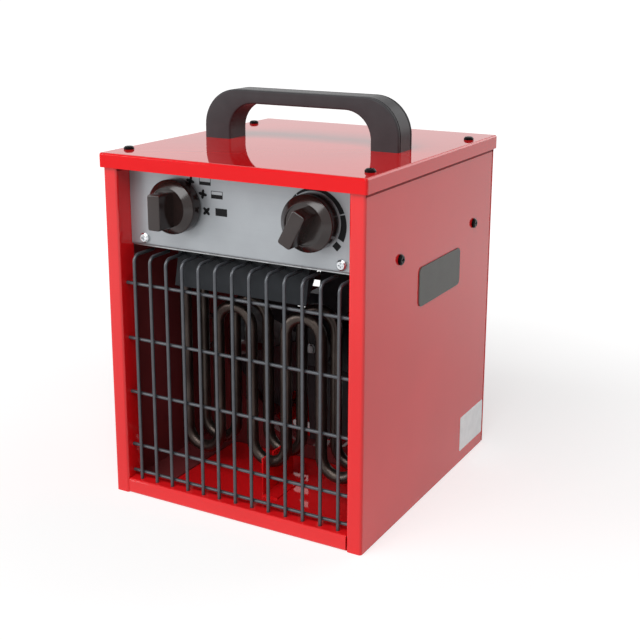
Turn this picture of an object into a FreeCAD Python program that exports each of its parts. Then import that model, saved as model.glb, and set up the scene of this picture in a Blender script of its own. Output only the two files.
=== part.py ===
"""Industrial fan heater: sheet steel casing, wire grille, tubular elements, fan and controls.

Millimetres. X runs to the right seen from the front, Y to the back and Z up. The origin is the
middle of the casing's footprint, on the surface that the heater stands on.
"""
import FreeCAD, Part
import Sketcher
import math
import os

os.makedirs("parts", exist_ok=True)
doc = FreeCAD.newDocument("fan_heater")
Vector = FreeCAD.Vector

# Driving dimensions
SIZES = {
    # casing
    "casing_width": 200.0,
    "casing_depth": 215.0,
    "casing_height": 247.0,
    "sheet_gauge": 1.0,
    "bend_radius": 1.0,
    "post_width": 11.2,
    "bar_height": 11.0,
    "ledge_depth": 14.0,
    "seam_gap": 0.3,
    "rim_flange": 10.0,
    "floor_flange": 28.0,
    # lid
    "lid_gauge": 1.0,
    "lid_skirt": 10.0,
    "lid_clearance": 1.0,
    "lid_corner": 2.0,
    "lid_edge": 1.6,
    "lid_screw_inset": 7.0,
    "lid_screw_front": 20.0,
    "lid_screw_back": 34.0,
    # handle
    "handle_length": 158.0,
    "handle_depth": 22.5,
    "handle_rise": 36.5,
    "handle_bar": 9.8,
    "handle_leg": 21.5,
    "handle_bend": 27.0,
    "handle_inner_bend": 20.0,
    "handle_edge": 2.0,
    "handle_shift": -3.0,
    # control panel
    "panel_recess": 14.0,
    "panel_gauge": 1.0,
    "panel_height": 64.0,
    "panel_side_gap": 0.2,
    "panel_top_gap": 0.5,
    "panel_hem": 11.0,
    "panel_screw_inset": 11.8,
    "panel_screw_rise": 5.5,
    "panel_screw_drop": 7.0,
    "tab_width": 18.0,
    "tab_height": 10.0,
    # control shelf
    "shelf_flange": 13.0,
    "shelf_gap": 0.5,
    "side_screw_front": 50.9,
    "side_screw_span": 127.6,
    "side_screw_rise": 3.75,
    # knobs and controls
    "selector_inset": 41.2,
    "thermostat_inset": 32.1,
    "control_height": 31.5,
    "thermostat_turn": 27.5,
    "knob_gap": 0.8,
    "knob_radius": 18.6,
    "knob_skirt": 9.6,
    "knob_front_radius": 13.8,
    "knob_ring": 13.8,
    "knob_rim": 0.5,
    "knob_floor": 13.0,
    "knob_wall": 2.0,
    "knob_ceiling": 9.6,
    "knob_hub": 6.0,
    "knob_hub_lift": 2.0,
    "knob_bore_depth": 14.0,
    "grip_length": 23.9,
    "grip_shift": -0.8,
    "grip_width": 9.6,
    "grip_height": 28.4,
    "grip_corner": 1.5,
    "grip_edge": 0.8,
    "control_shaft": 3.0,
    "shaft_fit": 0.05,
    "shaft_clearance": 1.0,
    "shaft_depth": 14.0,
    "shaft_end_gap": 1.0,
    "control_screw_reach": 11.0,
    "switch_width": 36.0,
    "switch_depth": 30.0,
    "thermostat_width": 38.0,
    "thermostat_depth": 24.0,
    "tab_blade": 6.3,
    "tab_blade_gauge": 0.8,
    "tab_blade_length": 9.0,
    # front grille
    "wire": 2.4,
    "wire_setback": 5.0,
    "wire_margin": 8.6,
    "wire_bend": 5.0,
    "wire_drop": 5.7,
    "wire_weld": 0.15,
    "wire_end_gap": 0.1,
    "wire_hole_fit": 0.2,
    "lowest_rung_rise": 4.5,
    "top_rung_drop": 20.8,
    # deflector
    "deflector_width": 105.0,
    "deflector_shift": -6.5,
    "deflector_gauge": 1.0,
    "deflector_front": 28.5,
    "deflector_lean": 6.0,
    "deflector_drop": 27.2,
    "deflector_flange": 14.0,
    # heating elements
    "element_setback": 50.5,
    "element_spacing": 22.0,
    "element_pitch": 28.25,
    "element_radius": 4.25,
    "element_low": 24.4,
    "element_arch_drop": 46.3,
    "element_stub": 10.0,
    "bush_fit": 0.1,
    "bush_wall": 2.6,
    "bush_flange": 2.2,
    "bush_flange_height": 3.0,
    "bush_rise": 5.0,
    "terminal_pin": 1.4,
    "terminal_rise": 3.0,
    "support_margin": 10.0,
    "support_rise": 5.6,
    "support_gauge": 1.2,
    "support_foot": 12.0,
    # fan section
    "motor_rear_gap": 11.5,
    "bulkhead_flange": 12.0,
    "fan_margin": 11.0,
    "fan_side_margin": 20.0,
    "fan_tip_gap": 4.0,
    "collar_length": 14.0,
    "fan_hub_radius": 15.0,
    "fan_hub_length": 22.0,
    "fan_lead": 2.0,
    "blade_gauge": 1.2,
    "blade_root_chord": 28.0,
    "blade_tip_chord": 58.0,
    "blade_root_pitch": 42.0,
    "blade_tip_pitch": 20.0,
    # motor
    "bridge_gap": 36.0,
    "bridge_gauge": 1.5,
    "bridge_height": 36.0,
    "bridge_leg_gap": 4.0,
    "bridge_foot": 9.5,
    "motor_shaft": 3.0,
    "motor_shaft_fit": 0.05,
    "shaft_tail": 2.0,
    "rotor_radius": 15.0,
    "air_gap": 0.4,
    "stator_width": 66.0,
    "stator_top": 26.0,
    "stator_bottom": 50.0,
    "stator_depth": 22.0,
    "window_width": 38.0,
    "window_top": 24.0,
    "window_bottom": 40.0,
    "coil_fit": 0.2,
    "coil_build": 7.0,
    "bracket_gauge": 2.5,
    "bracket_height": 18.0,
    "bracket_reach": 14.0,
    "bracket_foot": 16.0,
    "motor_screw_x": 25.0,
    "motor_screw_radius": 2.0,
    "bush_radius": 5.0,
    "bush_length": 9.0,
    # back panel
    "back_gauge": 1.0,
    "slot_width": 46.0,
    "slot_height": 6.0,
    "slot_gap": 8.0,
    "slot_margin": 20.0,
    "back_screw_inset": 7.0,
    "back_screw_low": 24.0,
    "back_screw_drop": 29.0,
    "gland_inset": 38.0,
    "gland_radius": 8.0,
    "gland_fit": 0.2,
    "gland_head": 11.5,
    "gland_flange": 4.0,
    "gland_dome": 12.0,
    "gland_mouth": 4.2,
    "gland_thread_length": 9.0,
    "locknut_height": 4.0,
    # fasteners
    "screw_radius": 1.9,
    "screw_fit": 0.15,
    "screw_length": 9.0,
    "screw_head_radius": 3.6,
    "screw_head_height": 2.2,
    "recess_length": 3.6,
    "recess_width": 0.9,
    "recess_depth": 1.1,
    "nut_radius": 4.0,
    "nut_height": 3.2,
    # terminal block, thermal cut-out and side plate
    "block_x": 8.0,
    "block_setback": 54.5,
    "block_length": 48.0,
    "block_width": 18.0,
    "block_height": 15.0,
    "block_screw_inset": 5.0,
    "cutout_radius": 8.0,
    "cutout_height": 9.0,
    "cutout_inset": 20.0,
    "cutout_drop": 16.0,
    "cutout_flange_gauge": 0.8,
    "cutout_flange_width": 32.0,
    "plate_front": 81.3,
    "plate_length": 71.0,
    "plate_drop": 73.0,
    "plate_height": 27.4,
    "plate_corner": 4.0,
    "plate_gauge": 0.8,
}
WIRES = 13
RUNGS = 5
ELEMENT_LEGS = 6
BLADES = 5
SLOT_COLUMNS = 3
SLOT_ROWS = 12

sheet = doc.addObject("Spreadsheet::Sheet", "Sizes")
for row, (alias, value) in enumerate(SIZES.items(), 1):
    sheet.set(f"A{row}", alias)
    sheet.set(f"B{row}", str(value))
    sheet.setAlias(f"B{row}", alias)
doc.recompute()


class Size:
    """A length or angle, known both as a number and as an expression of the sheet's cells."""

    def __init__(self, value, text):
        self.value = float(value)
        self.text = text

    def __add__(self, other):
        other = as_size(other)
        return Size(self.value + other.value, f"({self.text} + {other.text})")

    def __sub__(self, other):
        other = as_size(other)
        return Size(self.value - other.value, f"({self.text} - {other.text})")

    def __mul__(self, other):
        other = as_size(other)
        return Size(self.value * other.value, f"({self.text} * {other.text})")

    def __truediv__(self, other):
        other = as_size(other)
        return Size(self.value / other.value, f"({self.text} / {other.text})")

    def __neg__(self):
        return self * -1

    __radd__ = __add__
    __rmul__ = __mul__

    def __rsub__(self, other):
        return as_size(other) - self


def as_size(value):
    """A plain number as a size."""
    return value if isinstance(value, Size) else Size(value, f"({value})")


def cell(alias):
    """The size that a cell of the sheet holds."""
    return Size(sheet.get(alias), f"Sizes.{alias}")


def turned(angle, function):
    """The sine or cosine of an angle in the sheet."""
    value = getattr(math, function)(math.radians(angle.value))
    return Size(value, f"{function}({angle.text} * 1 deg)")


class Cells:
    """Reads a cell of the sheet by its alias."""

    def __getattr__(self, alias):
        return cell(alias)


S = Cells()


def least(one, other):
    """The smaller of two sizes."""
    return Size(min(one.value, other.value), f"min({one.text}; {other.text})")


def bind(thing, prop, size):
    """Ties a property to the sheet."""
    thing.setExpression(prop, as_size(size).text)


# Placing: a local frame whose Z points along one of the six directions
DIRECTIONS = {
    "+x": Vector(1, 0, 0),
    "-x": Vector(-1, 0, 0),
    "+y": Vector(0, 1, 0),
    "-y": Vector(0, -1, 0),
    "+z": Vector(0, 0, 1),
    "-z": Vector(0, 0, -1),
}


def place(thing, seat, facing, local=(0, 0, 0)):
    """Puts a primitive at a seat, with its local Z along a direction and a local offset."""
    turn = FreeCAD.Rotation(Vector(0, 0, 1), DIRECTIONS[facing])
    thing.Placement = FreeCAD.Placement(Vector(0, 0, 0), turn)
    axes = [turn.multVec(unit) for unit in (Vector(1, 0, 0), Vector(0, 1, 0), Vector(0, 0, 1))]
    for index, letter in enumerate("xyz"):
        total = as_size(seat[index])
        for offset, axis in zip(local, axes):
            share = round(axis[index])
            if share:
                total = total + share * as_size(offset)
        bind(thing, f"Placement.Base.{letter}", total)
    return thing


def block(name, x, y, z):
    """A box between two limits on each axis."""
    box = doc.addObject("Part::Box", name)
    for prop, limits in zip(("Length", "Width", "Height"), (x, y, z)):
        bind(box, prop, limits[1] - as_size(limits[0]))
    return place(box, (x[0], y[0], z[0]), "+z")


def rod(name, seat, facing, radius, length, start=0):
    """A round bar that begins a stated distance from its seat."""
    bar = doc.addObject("Part::Cylinder", name)
    bind(bar, "Radius", radius)
    bind(bar, "Height", length)
    return place(bar, seat, facing, (0, 0, start))


def taper(name, seat, facing, radius, end_radius, length, start=0):
    """A cone frustum that begins a stated distance from its seat."""
    cone = doc.addObject("Part::Cone", name)
    bind(cone, "Radius1", radius)
    bind(cone, "Radius2", end_radius)
    bind(cone, "Height", length)
    return place(cone, seat, facing, (0, 0, start))


def hexagon(name, seat, facing, radius, length, start=0):
    """A hexagonal bar, its radius measured to the corners."""
    prism = doc.addObject("Part::Prism", name)
    prism.Polygon = 6
    bind(prism, "Circumradius", radius)
    bind(prism, "Height", length)
    return place(prism, seat, facing, (0, 0, start))


def slab(name, seat, facing, length, width, height, start=0):
    """A box centred on a seat's axis."""
    box = doc.addObject("Part::Box", name)
    bind(box, "Length", length)
    bind(box, "Width", width)
    bind(box, "Height", height)
    return place(box, seat, facing, (-as_size(length) / 2, -as_size(width) / 2, start))


def elbow(name, centre, start, end, radius, bend):
    """A round bar bent from one direction off its centre to another, a quarter or half turn."""
    ring = doc.addObject("Part::Torus", name)
    bind(ring, "Radius1", bend)
    bind(ring, "Radius2", radius)
    first = DIRECTIONS[start]
    last = DIRECTIONS[end]
    half_turn = (first + last).Length < 0.5
    ring.Angle3 = 180 if half_turn else 90
    side = Vector(0, 0, -1 if first.x > 0 else 1) if half_turn else last
    turn = FreeCAD.Rotation(first, side, first.cross(side), "XYZ")
    ring.Placement = FreeCAD.Placement(Vector(0, 0, 0), turn)
    for index, letter in enumerate("xyz"):
        bind(ring, f"Placement.Base.{letter}", centre[index])
    return ring


def fuse(name, pieces):
    """Pieces joined into one solid."""
    joined = doc.addObject("Part::MultiFuse", name)
    joined.Shapes = pieces
    joined.Refine = True
    return joined


def cut(name, base, tools):
    """A piece with tools taken out of it."""
    tool = tools[0]
    if len(tools) > 1:
        tool = doc.addObject("Part::MultiFuse", name + "_tools")
        tool.Shapes = tools
    result = doc.addObject("Part::Cut", name)
    result.Base = base
    result.Tool = tool
    result.Refine = True
    return result


def group(name, pieces):
    """Like pieces kept as separate solids under one name."""
    gathered = doc.addObject("Part::Compound", name)
    gathered.Links = pieces
    return gathered


# Sketched features
PLANE_SIGN = {"XY_Plane": 1, "XZ_Plane": -1, "YZ_Plane": 1}


def sketch_on(body, name, plane, level):
    """A sketch on one of its body's planes, moved to a level along that plane's axis."""
    sketch = body.newObject("Sketcher::SketchObject", name)
    support = [item for item in body.Origin.OriginFeatures if item.Role == plane][0]
    sketch.AttachmentSupport = [(support, "")]
    sketch.MapMode = "FlatFace"
    bind(sketch, "AttachmentOffset.Base.z", PLANE_SIGN[plane] * as_size(level))
    return sketch


def fix_point(sketch, geometry, position, point):
    """Ties a point of a sketch to the sheet on both axes."""
    for kind, size in zip(("DistanceX", "DistanceY"), point):
        size = as_size(size)
        index = sketch.addConstraint(Sketcher.Constraint(kind, geometry, position, size.value))
        bind(sketch, f"Constraints[{index}]", size)


def sign(value):
    """The direction of a step along an axis: -1, 0 or 1."""
    return (value > 1e-9) - (value < -1e-9)


def draw_outline(sketch, corners):
    """A closed outline of straight sides; a corner is (x, y) or, on square sides, (x, y, radius)."""
    corners = [tuple(as_size(size) for size in corner) for corner in corners]
    runs = []
    for index, corner in enumerate(corners):
        x, y = corner[:2]
        if len(corner) == 2:
            runs.append(((x, y), None, (x, y)))
            continue
        radius = corner[2]
        arms = []
        for near in (corners[index - 1], corners[(index + 1) % len(corners)]):
            arms.append((sign(near[0].value - x.value), sign(near[1].value - y.value)))
        ends = [(x + arm[0] * radius, y + arm[1] * radius) for arm in arms]
        runs.append((ends[0], radius, ends[1]))
    pieces = []
    for index, (entry, radius, leave) in enumerate(runs):
        if radius is not None:
            pieces.append((entry, leave, radius, corners[index]))
        following = runs[(index + 1) % len(runs)][0]
        pieces.append((leave, following, None, None))
    first = sketch.GeometryCount
    for start, end, radius, corner in pieces:
        a = Vector(start[0].value, start[1].value, 0)
        b = Vector(end[0].value, end[1].value, 0)
        if radius is None:
            sketch.addGeometry(Part.LineSegment(a, b), False)
            continue
        tip = Vector(corner[0].value, corner[1].value, 0)
        centre = a + b - tip
        middle = centre + (tip - centre).normalize() * radius.value
        sketch.addGeometry(Part.Arc(a, middle, b), False)
    count = len(pieces)
    flips = []
    for step, (start, end, radius, corner) in enumerate(pieces):
        points = [sketch.getPoint(first + step, position) for position in (1, 2)]
        a = Vector(start[0].value, start[1].value, 0)
        flips.append(points[0].distanceToPoint(a) > points[1].distanceToPoint(a))
    for step, (start, end, radius, corner) in enumerate(pieces):
        after = (step + 1) % count
        head = 1 if flips[step] else 2
        tail = 2 if flips[after] else 1
        sketch.addConstraint(Sketcher.Constraint("Coincident", first + step, head, first + after, tail))
        fix_point(sketch, first + step, 2 if flips[step] else 1, start)
        if radius is not None:
            index = sketch.addConstraint(Sketcher.Constraint("Radius", first + step, radius.value))
            bind(sketch, f"Constraints[{index}]", radius)


def draw_circle(sketch, centre, radius):
    """A circle tied to the sheet."""
    radius = as_size(radius)
    middle = [as_size(size) for size in centre]
    spot = Vector(middle[0].value, middle[1].value, 0)
    geometry = sketch.addGeometry(Part.Circle(spot, Vector(0, 0, 1), radius.value), False)
    fix_point(sketch, geometry, 3, middle)
    index = sketch.addConstraint(Sketcher.Constraint("Radius", geometry, radius.value))
    bind(sketch, f"Constraints[{index}]", radius)


def layer(body, name, kind, plane, span, outlines=(), circles=()):
    """A pad or pocket between two levels of a plane's axis."""
    sketch = sketch_on(body, name + "_sketch", plane, span[0])
    for outline in outlines:
        draw_outline(sketch, outline)
    for centre, radius in circles:
        draw_circle(sketch, centre, radius)
    feature = body.newObject("PartDesign::" + kind, name)
    feature.Profile = sketch
    bind(feature, "Length", span[1] - as_size(span[0]))
    along_normal = PLANE_SIGN[plane] > 0
    feature.Reversed = along_normal if kind == "Pocket" else not along_normal
    return feature


def pad(body, name, plane, span, outlines=(), circles=()):
    """Adds material between two levels."""
    return layer(body, name, "Pad", plane, span, outlines, circles)


def pocket(body, name, plane, span, outlines=(), circles=()):
    """Takes material away between two levels."""
    return layer(body, name, "Pocket", plane, span, outlines, circles)


def oblong(x, y, radius=None):
    """The four corners of a rectangle between two limits on each axis."""
    ends = (radius,) if radius is not None else ()
    return [
        (x[0], y[0]) + ends,
        (x[1], y[0]) + ends,
        (x[1], y[1]) + ends,
        (x[0], y[1]) + ends,
    ]


def strip(path, gauge, bend):
    """The outline of a bent sheet whose left-hand side, seen along the path, is its body."""
    path = [tuple(as_size(size) for size in point) for point in path]
    headings = []
    for here, there in zip(path, path[1:]):
        headings.append((sign(there[0].value - here[0].value), sign(there[1].value - here[1].value)))
    near = []
    far = []
    for index, (x, y) in enumerate(path):
        sides = headings[max(index - 1, 0):index + 1]
        shift = [sum(-heading[1] for heading in sides), sum(heading[0] for heading in sides)]
        moved = (x + shift[0] * gauge, y + shift[1] * gauge)
        if len(sides) == 1 or index == len(path) - 1:
            near.append((x, y))
            far.append(moved)
            continue
        left_turn = sides[0][0] * sides[1][1] - sides[0][1] * sides[1][0] > 0
        near.append((x, y, bend + gauge if left_turn else bend))
        far.append(moved + (bend if left_turn else bend + gauge,))
    return near + far[::-1]


def body_named(name):
    """An empty body."""
    return doc.addObject("PartDesign::Body", name)


def edges_where(feature, test):
    """The names of a feature's edges that pass a test."""
    doc.recompute()
    return [f"Edge{number}" for number, edge in enumerate(feature.Shape.Edges, 1) if test(edge)]


def soften(body, name, feature, test, radius, kind="Fillet"):
    """Rounds or chamfers the edges of a feature that pass a test."""
    edges = edges_where(feature, test)
    rounding = body.newObject("PartDesign::" + kind, name)
    rounding.Base = (feature, edges)
    bind(rounding, "Radius" if kind == "Fillet" else "Size", radius)
    return rounding


# Shared places
half_width = S.casing_width / 2
front = -S.casing_depth / 2
back = S.casing_depth / 2
back_plane = back - S.back_gauge
side_inside = half_width - S.sheet_gauge
opening = half_width - S.post_width
panel_face = front + S.panel_recess
panel_back = panel_face + S.panel_gauge
return_end = panel_back + S.sheet_gauge
panel_bottom = S.casing_height - S.panel_height
panel_top = S.casing_height - S.panel_top_gap
lid_top = S.casing_height + S.lid_gauge
shelf_under = panel_bottom - S.sheet_gauge
control_z = panel_bottom + S.control_height
screw_hole = S.screw_radius + S.screw_fit
flange_top = S.sheet_gauge * 2
chamber_middle = (flange_top + shelf_under) / 2
chamber_half = (shelf_under - flange_top) / 2
fan_z = chamber_middle
fan_hole = least(chamber_half - S.fan_margin, side_inside - S.fan_side_margin)
fan_radius = fan_hole - S.fan_tip_gap
shaft_back = back_plane - S.motor_rear_gap
bracket_back = shaft_back - S.shaft_tail
stator_back = bracket_back - S.bracket_reach
stator_front = stator_back - S.stator_depth
bracket_front = stator_front - S.bracket_reach
bridge_back = bracket_front
bridge_front = bridge_back - S.bridge_gauge
bulkhead_back = bridge_front - S.bridge_gap
bulkhead_front = bulkhead_back - S.sheet_gauge
selector_x = S.selector_inset - opening
thermostat_x = opening - S.thermostat_inset
gland_x = half_width - S.gland_inset
gland_z = (panel_bottom + S.casing_height) / 2
slot_lowest = flange_top + S.slot_margin
slot_highest = shelf_under - S.slot_margin
block_y = back_plane - S.block_setback
cutout_x = half_width - S.cutout_inset
lid_screw_x = half_width - S.lid_screw_inset
lid_screw_y = (front + S.lid_screw_front, back - S.lid_screw_back)
side_screw_y = (front + S.side_screw_front, front + S.side_screw_front + S.side_screw_span)
side_screw_z = panel_bottom + S.side_screw_rise
panel_screw_x = opening - S.panel_screw_inset
panel_screw_z = (panel_bottom + S.panel_screw_rise, panel_top - S.panel_screw_drop)
back_screw_x = half_width - S.back_screw_inset
back_screw_high = S.casing_height - S.back_screw_drop
back_screw_z = (S.back_screw_low, (S.back_screw_low + back_screw_high) / 2, back_screw_high)
handle_leg_x = (S.handle_length - S.handle_leg) / 2


def side_panel(name, hand):
    """One side of the casing: post, return, side wall and flanges; hand is -1 left, 1 right."""
    body = body_named(name)
    path = [
        (hand * opening, return_end),
        (hand * opening, front),
        (hand * half_width, front),
        (hand * half_width, back_plane),
        (hand * opening, back_plane),
    ]
    if hand < 0:
        path.reverse()
    wall = strip(path, S.sheet_gauge, S.bend_radius)
    pad(body, name + "_wall", "XY_Plane", (0, S.casing_height), [wall])
    inside_y = (front + S.sheet_gauge + S.bend_radius, back_plane - S.sheet_gauge - S.bend_radius)
    top_x = sorted_pair(hand * (side_inside - S.rim_flange), hand * (side_inside + S.sheet_gauge / 2))
    top_z = (S.casing_height - S.sheet_gauge, S.casing_height)
    pad(body, name + "_top_flange", "XY_Plane", top_z, [oblong(top_x, inside_y)])
    low_x = sorted_pair(hand * (side_inside - S.floor_flange), hand * (side_inside + S.sheet_gauge / 2))
    low_y = (return_end + S.sheet_gauge, inside_y[1])
    pad(body, name + "_floor_flange", "XY_Plane", (S.sheet_gauge, flange_top), [oblong(low_x, low_y)])
    tab_x = sorted_pair(hand * (opening - S.tab_width), hand * (opening + S.sheet_gauge / 2))
    hem_top = panel_bottom + S.panel_gauge + S.bend_radius + S.seam_gap
    tab_rise = S.tab_height / 2
    low_tab = (hem_top, panel_screw_z[0] + tab_rise)
    high_tab = (panel_screw_z[1] - tab_rise, panel_screw_z[1] + tab_rise)
    for place_name, tab_z in (("low", low_tab), ("high", high_tab)):
        pad(body, f"{name}_{place_name}_tab", "XZ_Plane", (panel_back, return_end), [oblong(tab_x, tab_z)])
    lid_holes = [((hand * lid_screw_x, y), screw_hole) for y in lid_screw_y]
    pocket(body, name + "_lid_holes", "XY_Plane", top_z, circles=lid_holes)
    panel_holes = [((hand * panel_screw_x, z), screw_hole) for z in panel_screw_z]
    pocket(body, name + "_panel_holes", "XZ_Plane", (panel_back, return_end), circles=panel_holes)
    back_holes = [((hand * back_screw_x, z), screw_hole) for z in back_screw_z]
    rear_y = (back_plane - S.sheet_gauge, back_plane)
    pocket(body, name + "_back_holes", "XZ_Plane", rear_y, circles=back_holes)
    side_holes = [((y, side_screw_z), screw_hole) for y in side_screw_y]
    wall_x = sorted_pair(hand * side_inside, hand * half_width)
    pocket(body, name + "_side_holes", "YZ_Plane", wall_x, circles=side_holes)
    return body


def sorted_pair(one, other):
    """Two sizes with the smaller first."""
    return (one, other) if one.value < other.value else (other, one)


def floor_pan():
    """The floor with its front bar, the ledge behind the bar and a rear upstand."""
    body = body_named("floor_pan")
    path = [
        (front + S.ledge_depth, S.bar_height),
        (front, S.bar_height),
        (front, 0),
        (back_plane, 0),
        (back_plane, S.rim_flange),
    ]
    width = opening - S.seam_gap
    outline = strip(path, S.sheet_gauge, S.bend_radius)
    pad(body, "floor_sheet", "YZ_Plane", (-width, width), [outline])
    holes = [((x, wire_plane), S.wire / 2 + S.wire_hole_fit) for x in wire_x]
    ledge = (S.bar_height - S.sheet_gauge, S.bar_height)
    pocket(body, "wire_holes", "XY_Plane", ledge, circles=holes)
    return body


def lid():
    """The lid: a shallow tray with rounded edges, upside down on the casing."""
    body = body_named("lid")
    reach = S.lid_clearance + S.lid_gauge
    x = (-half_width - reach, half_width + reach)
    y = (front - reach, back + reach)
    z = (lid_top - S.lid_skirt, lid_top)
    block_feature = pad(body, "lid_block", "XY_Plane", z, [oblong(x, y, S.lid_corner)])
    top = lid_top.value
    soften(body, "lid_top_edge", block_feature, lambda e: e.BoundBox.ZMin > top - 1e-6, S.lid_edge)
    inner_x = (x[0] + S.lid_gauge, x[1] - S.lid_gauge)
    inner_y = (y[0] + S.lid_gauge, y[1] - S.lid_gauge)
    inner_z = (z[0], z[1] - S.lid_gauge)
    corner = S.lid_corner - S.lid_gauge
    pocket(body, "lid_hollow", "XY_Plane", inner_z, [oblong(inner_x, inner_y, corner)])
    holes = [((hand * lid_screw_x, y_at), screw_hole) for hand in (-1, 1) for y_at in lid_screw_y]
    holes += [((S.handle_shift + hand * handle_leg_x, 0), screw_hole) for hand in (-1, 1)]
    pocket(body, "lid_holes", "XY_Plane", (inner_z[1], lid_top), circles=holes)
    return body


def handle():
    """The bow handle: two flat legs and a bar, with large bends and rounded edges."""
    body = body_named("handle")
    left = S.handle_shift - S.handle_length / 2
    right = S.handle_shift + S.handle_length / 2
    top = lid_top + S.handle_rise
    outline = [
        (left, lid_top),
        (left, top, S.handle_bend),
        (right, top, S.handle_bend),
        (right, lid_top),
        (right - S.handle_leg, lid_top),
        (right - S.handle_leg, top - S.handle_bar, S.handle_inner_bend),
        (left + S.handle_leg, top - S.handle_bar, S.handle_inner_bend),
        (left + S.handle_leg, lid_top),
    ]
    y = (-S.handle_depth / 2, S.handle_depth / 2)
    bow = pad(body, "handle_bow", "XZ_Plane", y, [outline])
    base = lid_top.value
    reach = y[1].value

    def long_edge(edge):
        box = edge.BoundBox
        on_face = box.YLength < 1e-6 and abs(abs(box.YMin) - reach) < 1e-6
        return on_face and box.ZMax > base + 1e-6

    soften(body, "handle_rounding", bow, long_edge, S.handle_edge)
    holes = [((S.handle_shift + hand * handle_leg_x, 0), screw_hole) for hand in (-1, 1)]
    depth = (lid_top, lid_top + S.screw_length)
    pocket(body, "handle_holes", "XY_Plane", depth, circles=holes)
    return body


def control_panel():
    """The recessed control panel: a plate with its lower edge folded back."""
    body = body_named("control_panel")
    path = [
        (panel_face, panel_top),
        (panel_face, panel_bottom),
        (panel_face + S.panel_hem, panel_bottom),
    ]
    width = opening - S.panel_side_gap
    outline = strip(path, S.panel_gauge, S.bend_radius)
    pad(body, "panel_sheet", "YZ_Plane", (-width, width), [outline])
    circles = [((hand * panel_screw_x, z), screw_hole) for hand in (-1, 1) for z in panel_screw_z]
    for x in (selector_x, thermostat_x):
        circles.append(((x, control_z), S.control_shaft + S.shaft_clearance))
        circles += [((x + hand * S.control_screw_reach, control_z), screw_hole) for hand in (-1, 1)]
    pocket(body, "panel_holes", "XZ_Plane", (panel_face, panel_back), circles=circles)
    return body


def control_shelf():
    """The shelf under the control compartment, flanged up at the sides."""
    body = body_named("control_shelf")
    flange_z = panel_bottom + S.shelf_flange
    path = [
        (-side_inside, flange_z),
        (-side_inside, shelf_under),
        (side_inside, shelf_under),
        (side_inside, flange_z),
    ]
    outline = strip(path, S.sheet_gauge, S.bend_radius)
    y = (return_end + S.shelf_gap, back_plane - S.sheet_gauge - S.bend_radius - S.shelf_gap)
    pad(body, "shelf_sheet", "XZ_Plane", y, [outline])
    holes = [((hand_x, y_at), bush_outer + S.bush_fit) for hand_x in element_end_x for y_at in element_y]
    holes += [((S.block_x + hand * block_screw_x, block_y), screw_hole) for hand in (-1, 1)]
    pocket(body, "shelf_holes", "XY_Plane", (shelf_under, panel_bottom), circles=holes)
    side_holes = [((y_at, side_screw_z), screw_hole) for y_at in side_screw_y]
    pocket(body, "shelf_side_holes", "YZ_Plane", (-side_inside, side_inside), circles=side_holes)
    return body


def back_panel():
    """The flat back panel with rows of intake slots."""
    body = body_named("back_panel")
    y = (back_plane, back)
    sheet_outline = oblong((-half_width, half_width), (0, S.casing_height))
    pad(body, "back_sheet", "XZ_Plane", y, [sheet_outline])
    circles = [((hand * back_screw_x, z), screw_hole) for hand in (-1, 1) for z in back_screw_z]
    circles.append(((gland_x, gland_z), S.gland_radius + S.gland_fit))
    pocket(body, "back_holes", "XZ_Plane", y, circles=circles)
    slots = []
    for column in range(SLOT_COLUMNS):
        middle = (column - (SLOT_COLUMNS - 1) / 2) * (S.slot_width + S.slot_gap)
        slot_x = (middle - S.slot_width / 2, middle + S.slot_width / 2)
        slot_z = (slot_lowest - S.slot_height / 2, slot_lowest + S.slot_height / 2)
        slots.append(oblong(slot_x, slot_z, S.slot_height * 0.45))
    row_of_slots = pocket(body, "back_slot_row", "XZ_Plane", y, slots)
    rows = body.newObject("PartDesign::LinearPattern", "back_slots")
    rows.Originals = [row_of_slots]
    upright = [item for item in body.Origin.OriginFeatures if item.Role == "Z_Axis"][0]
    rows.Direction = (upright, [""])
    rows.Occurrences = SLOT_ROWS
    bind(rows, "Length", slot_highest - slot_lowest)
    body.Tip = rows
    return body


def fan_bulkhead():
    """The wall that the fan blows through: flanged back at the sides, with a round collar."""
    body = body_named("fan_bulkhead")
    path = [
        (-side_inside, bulkhead_front + S.bulkhead_flange),
        (-side_inside, bulkhead_front),
        (side_inside, bulkhead_front),
        (side_inside, bulkhead_front + S.bulkhead_flange),
    ]
    outline = strip(path, S.sheet_gauge, S.bend_radius)
    pad(body, "bulkhead_sheet", "XY_Plane", (flange_top, shelf_under), [outline])
    centre = (0, fan_z)
    collar_y = (bulkhead_front, bulkhead_front + S.collar_length)
    pad(body, "collar", "XZ_Plane", collar_y, circles=[(centre, fan_hole + S.sheet_gauge)])
    pocket(body, "fan_hole", "XZ_Plane", collar_y, circles=[(centre, fan_hole)])
    small = [((x, z), screw_hole) for x in bridge_screw_x for z in bridge_screw_z]
    small.append(((cutout_x + cutout_screw_x, cutout_z), screw_hole))
    small.append(((cutout_x - cutout_screw_x, cutout_z), screw_hole))
    pocket(body, "bulkhead_holes", "XZ_Plane", (bulkhead_front, bulkhead_back), circles=small)
    return body


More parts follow.
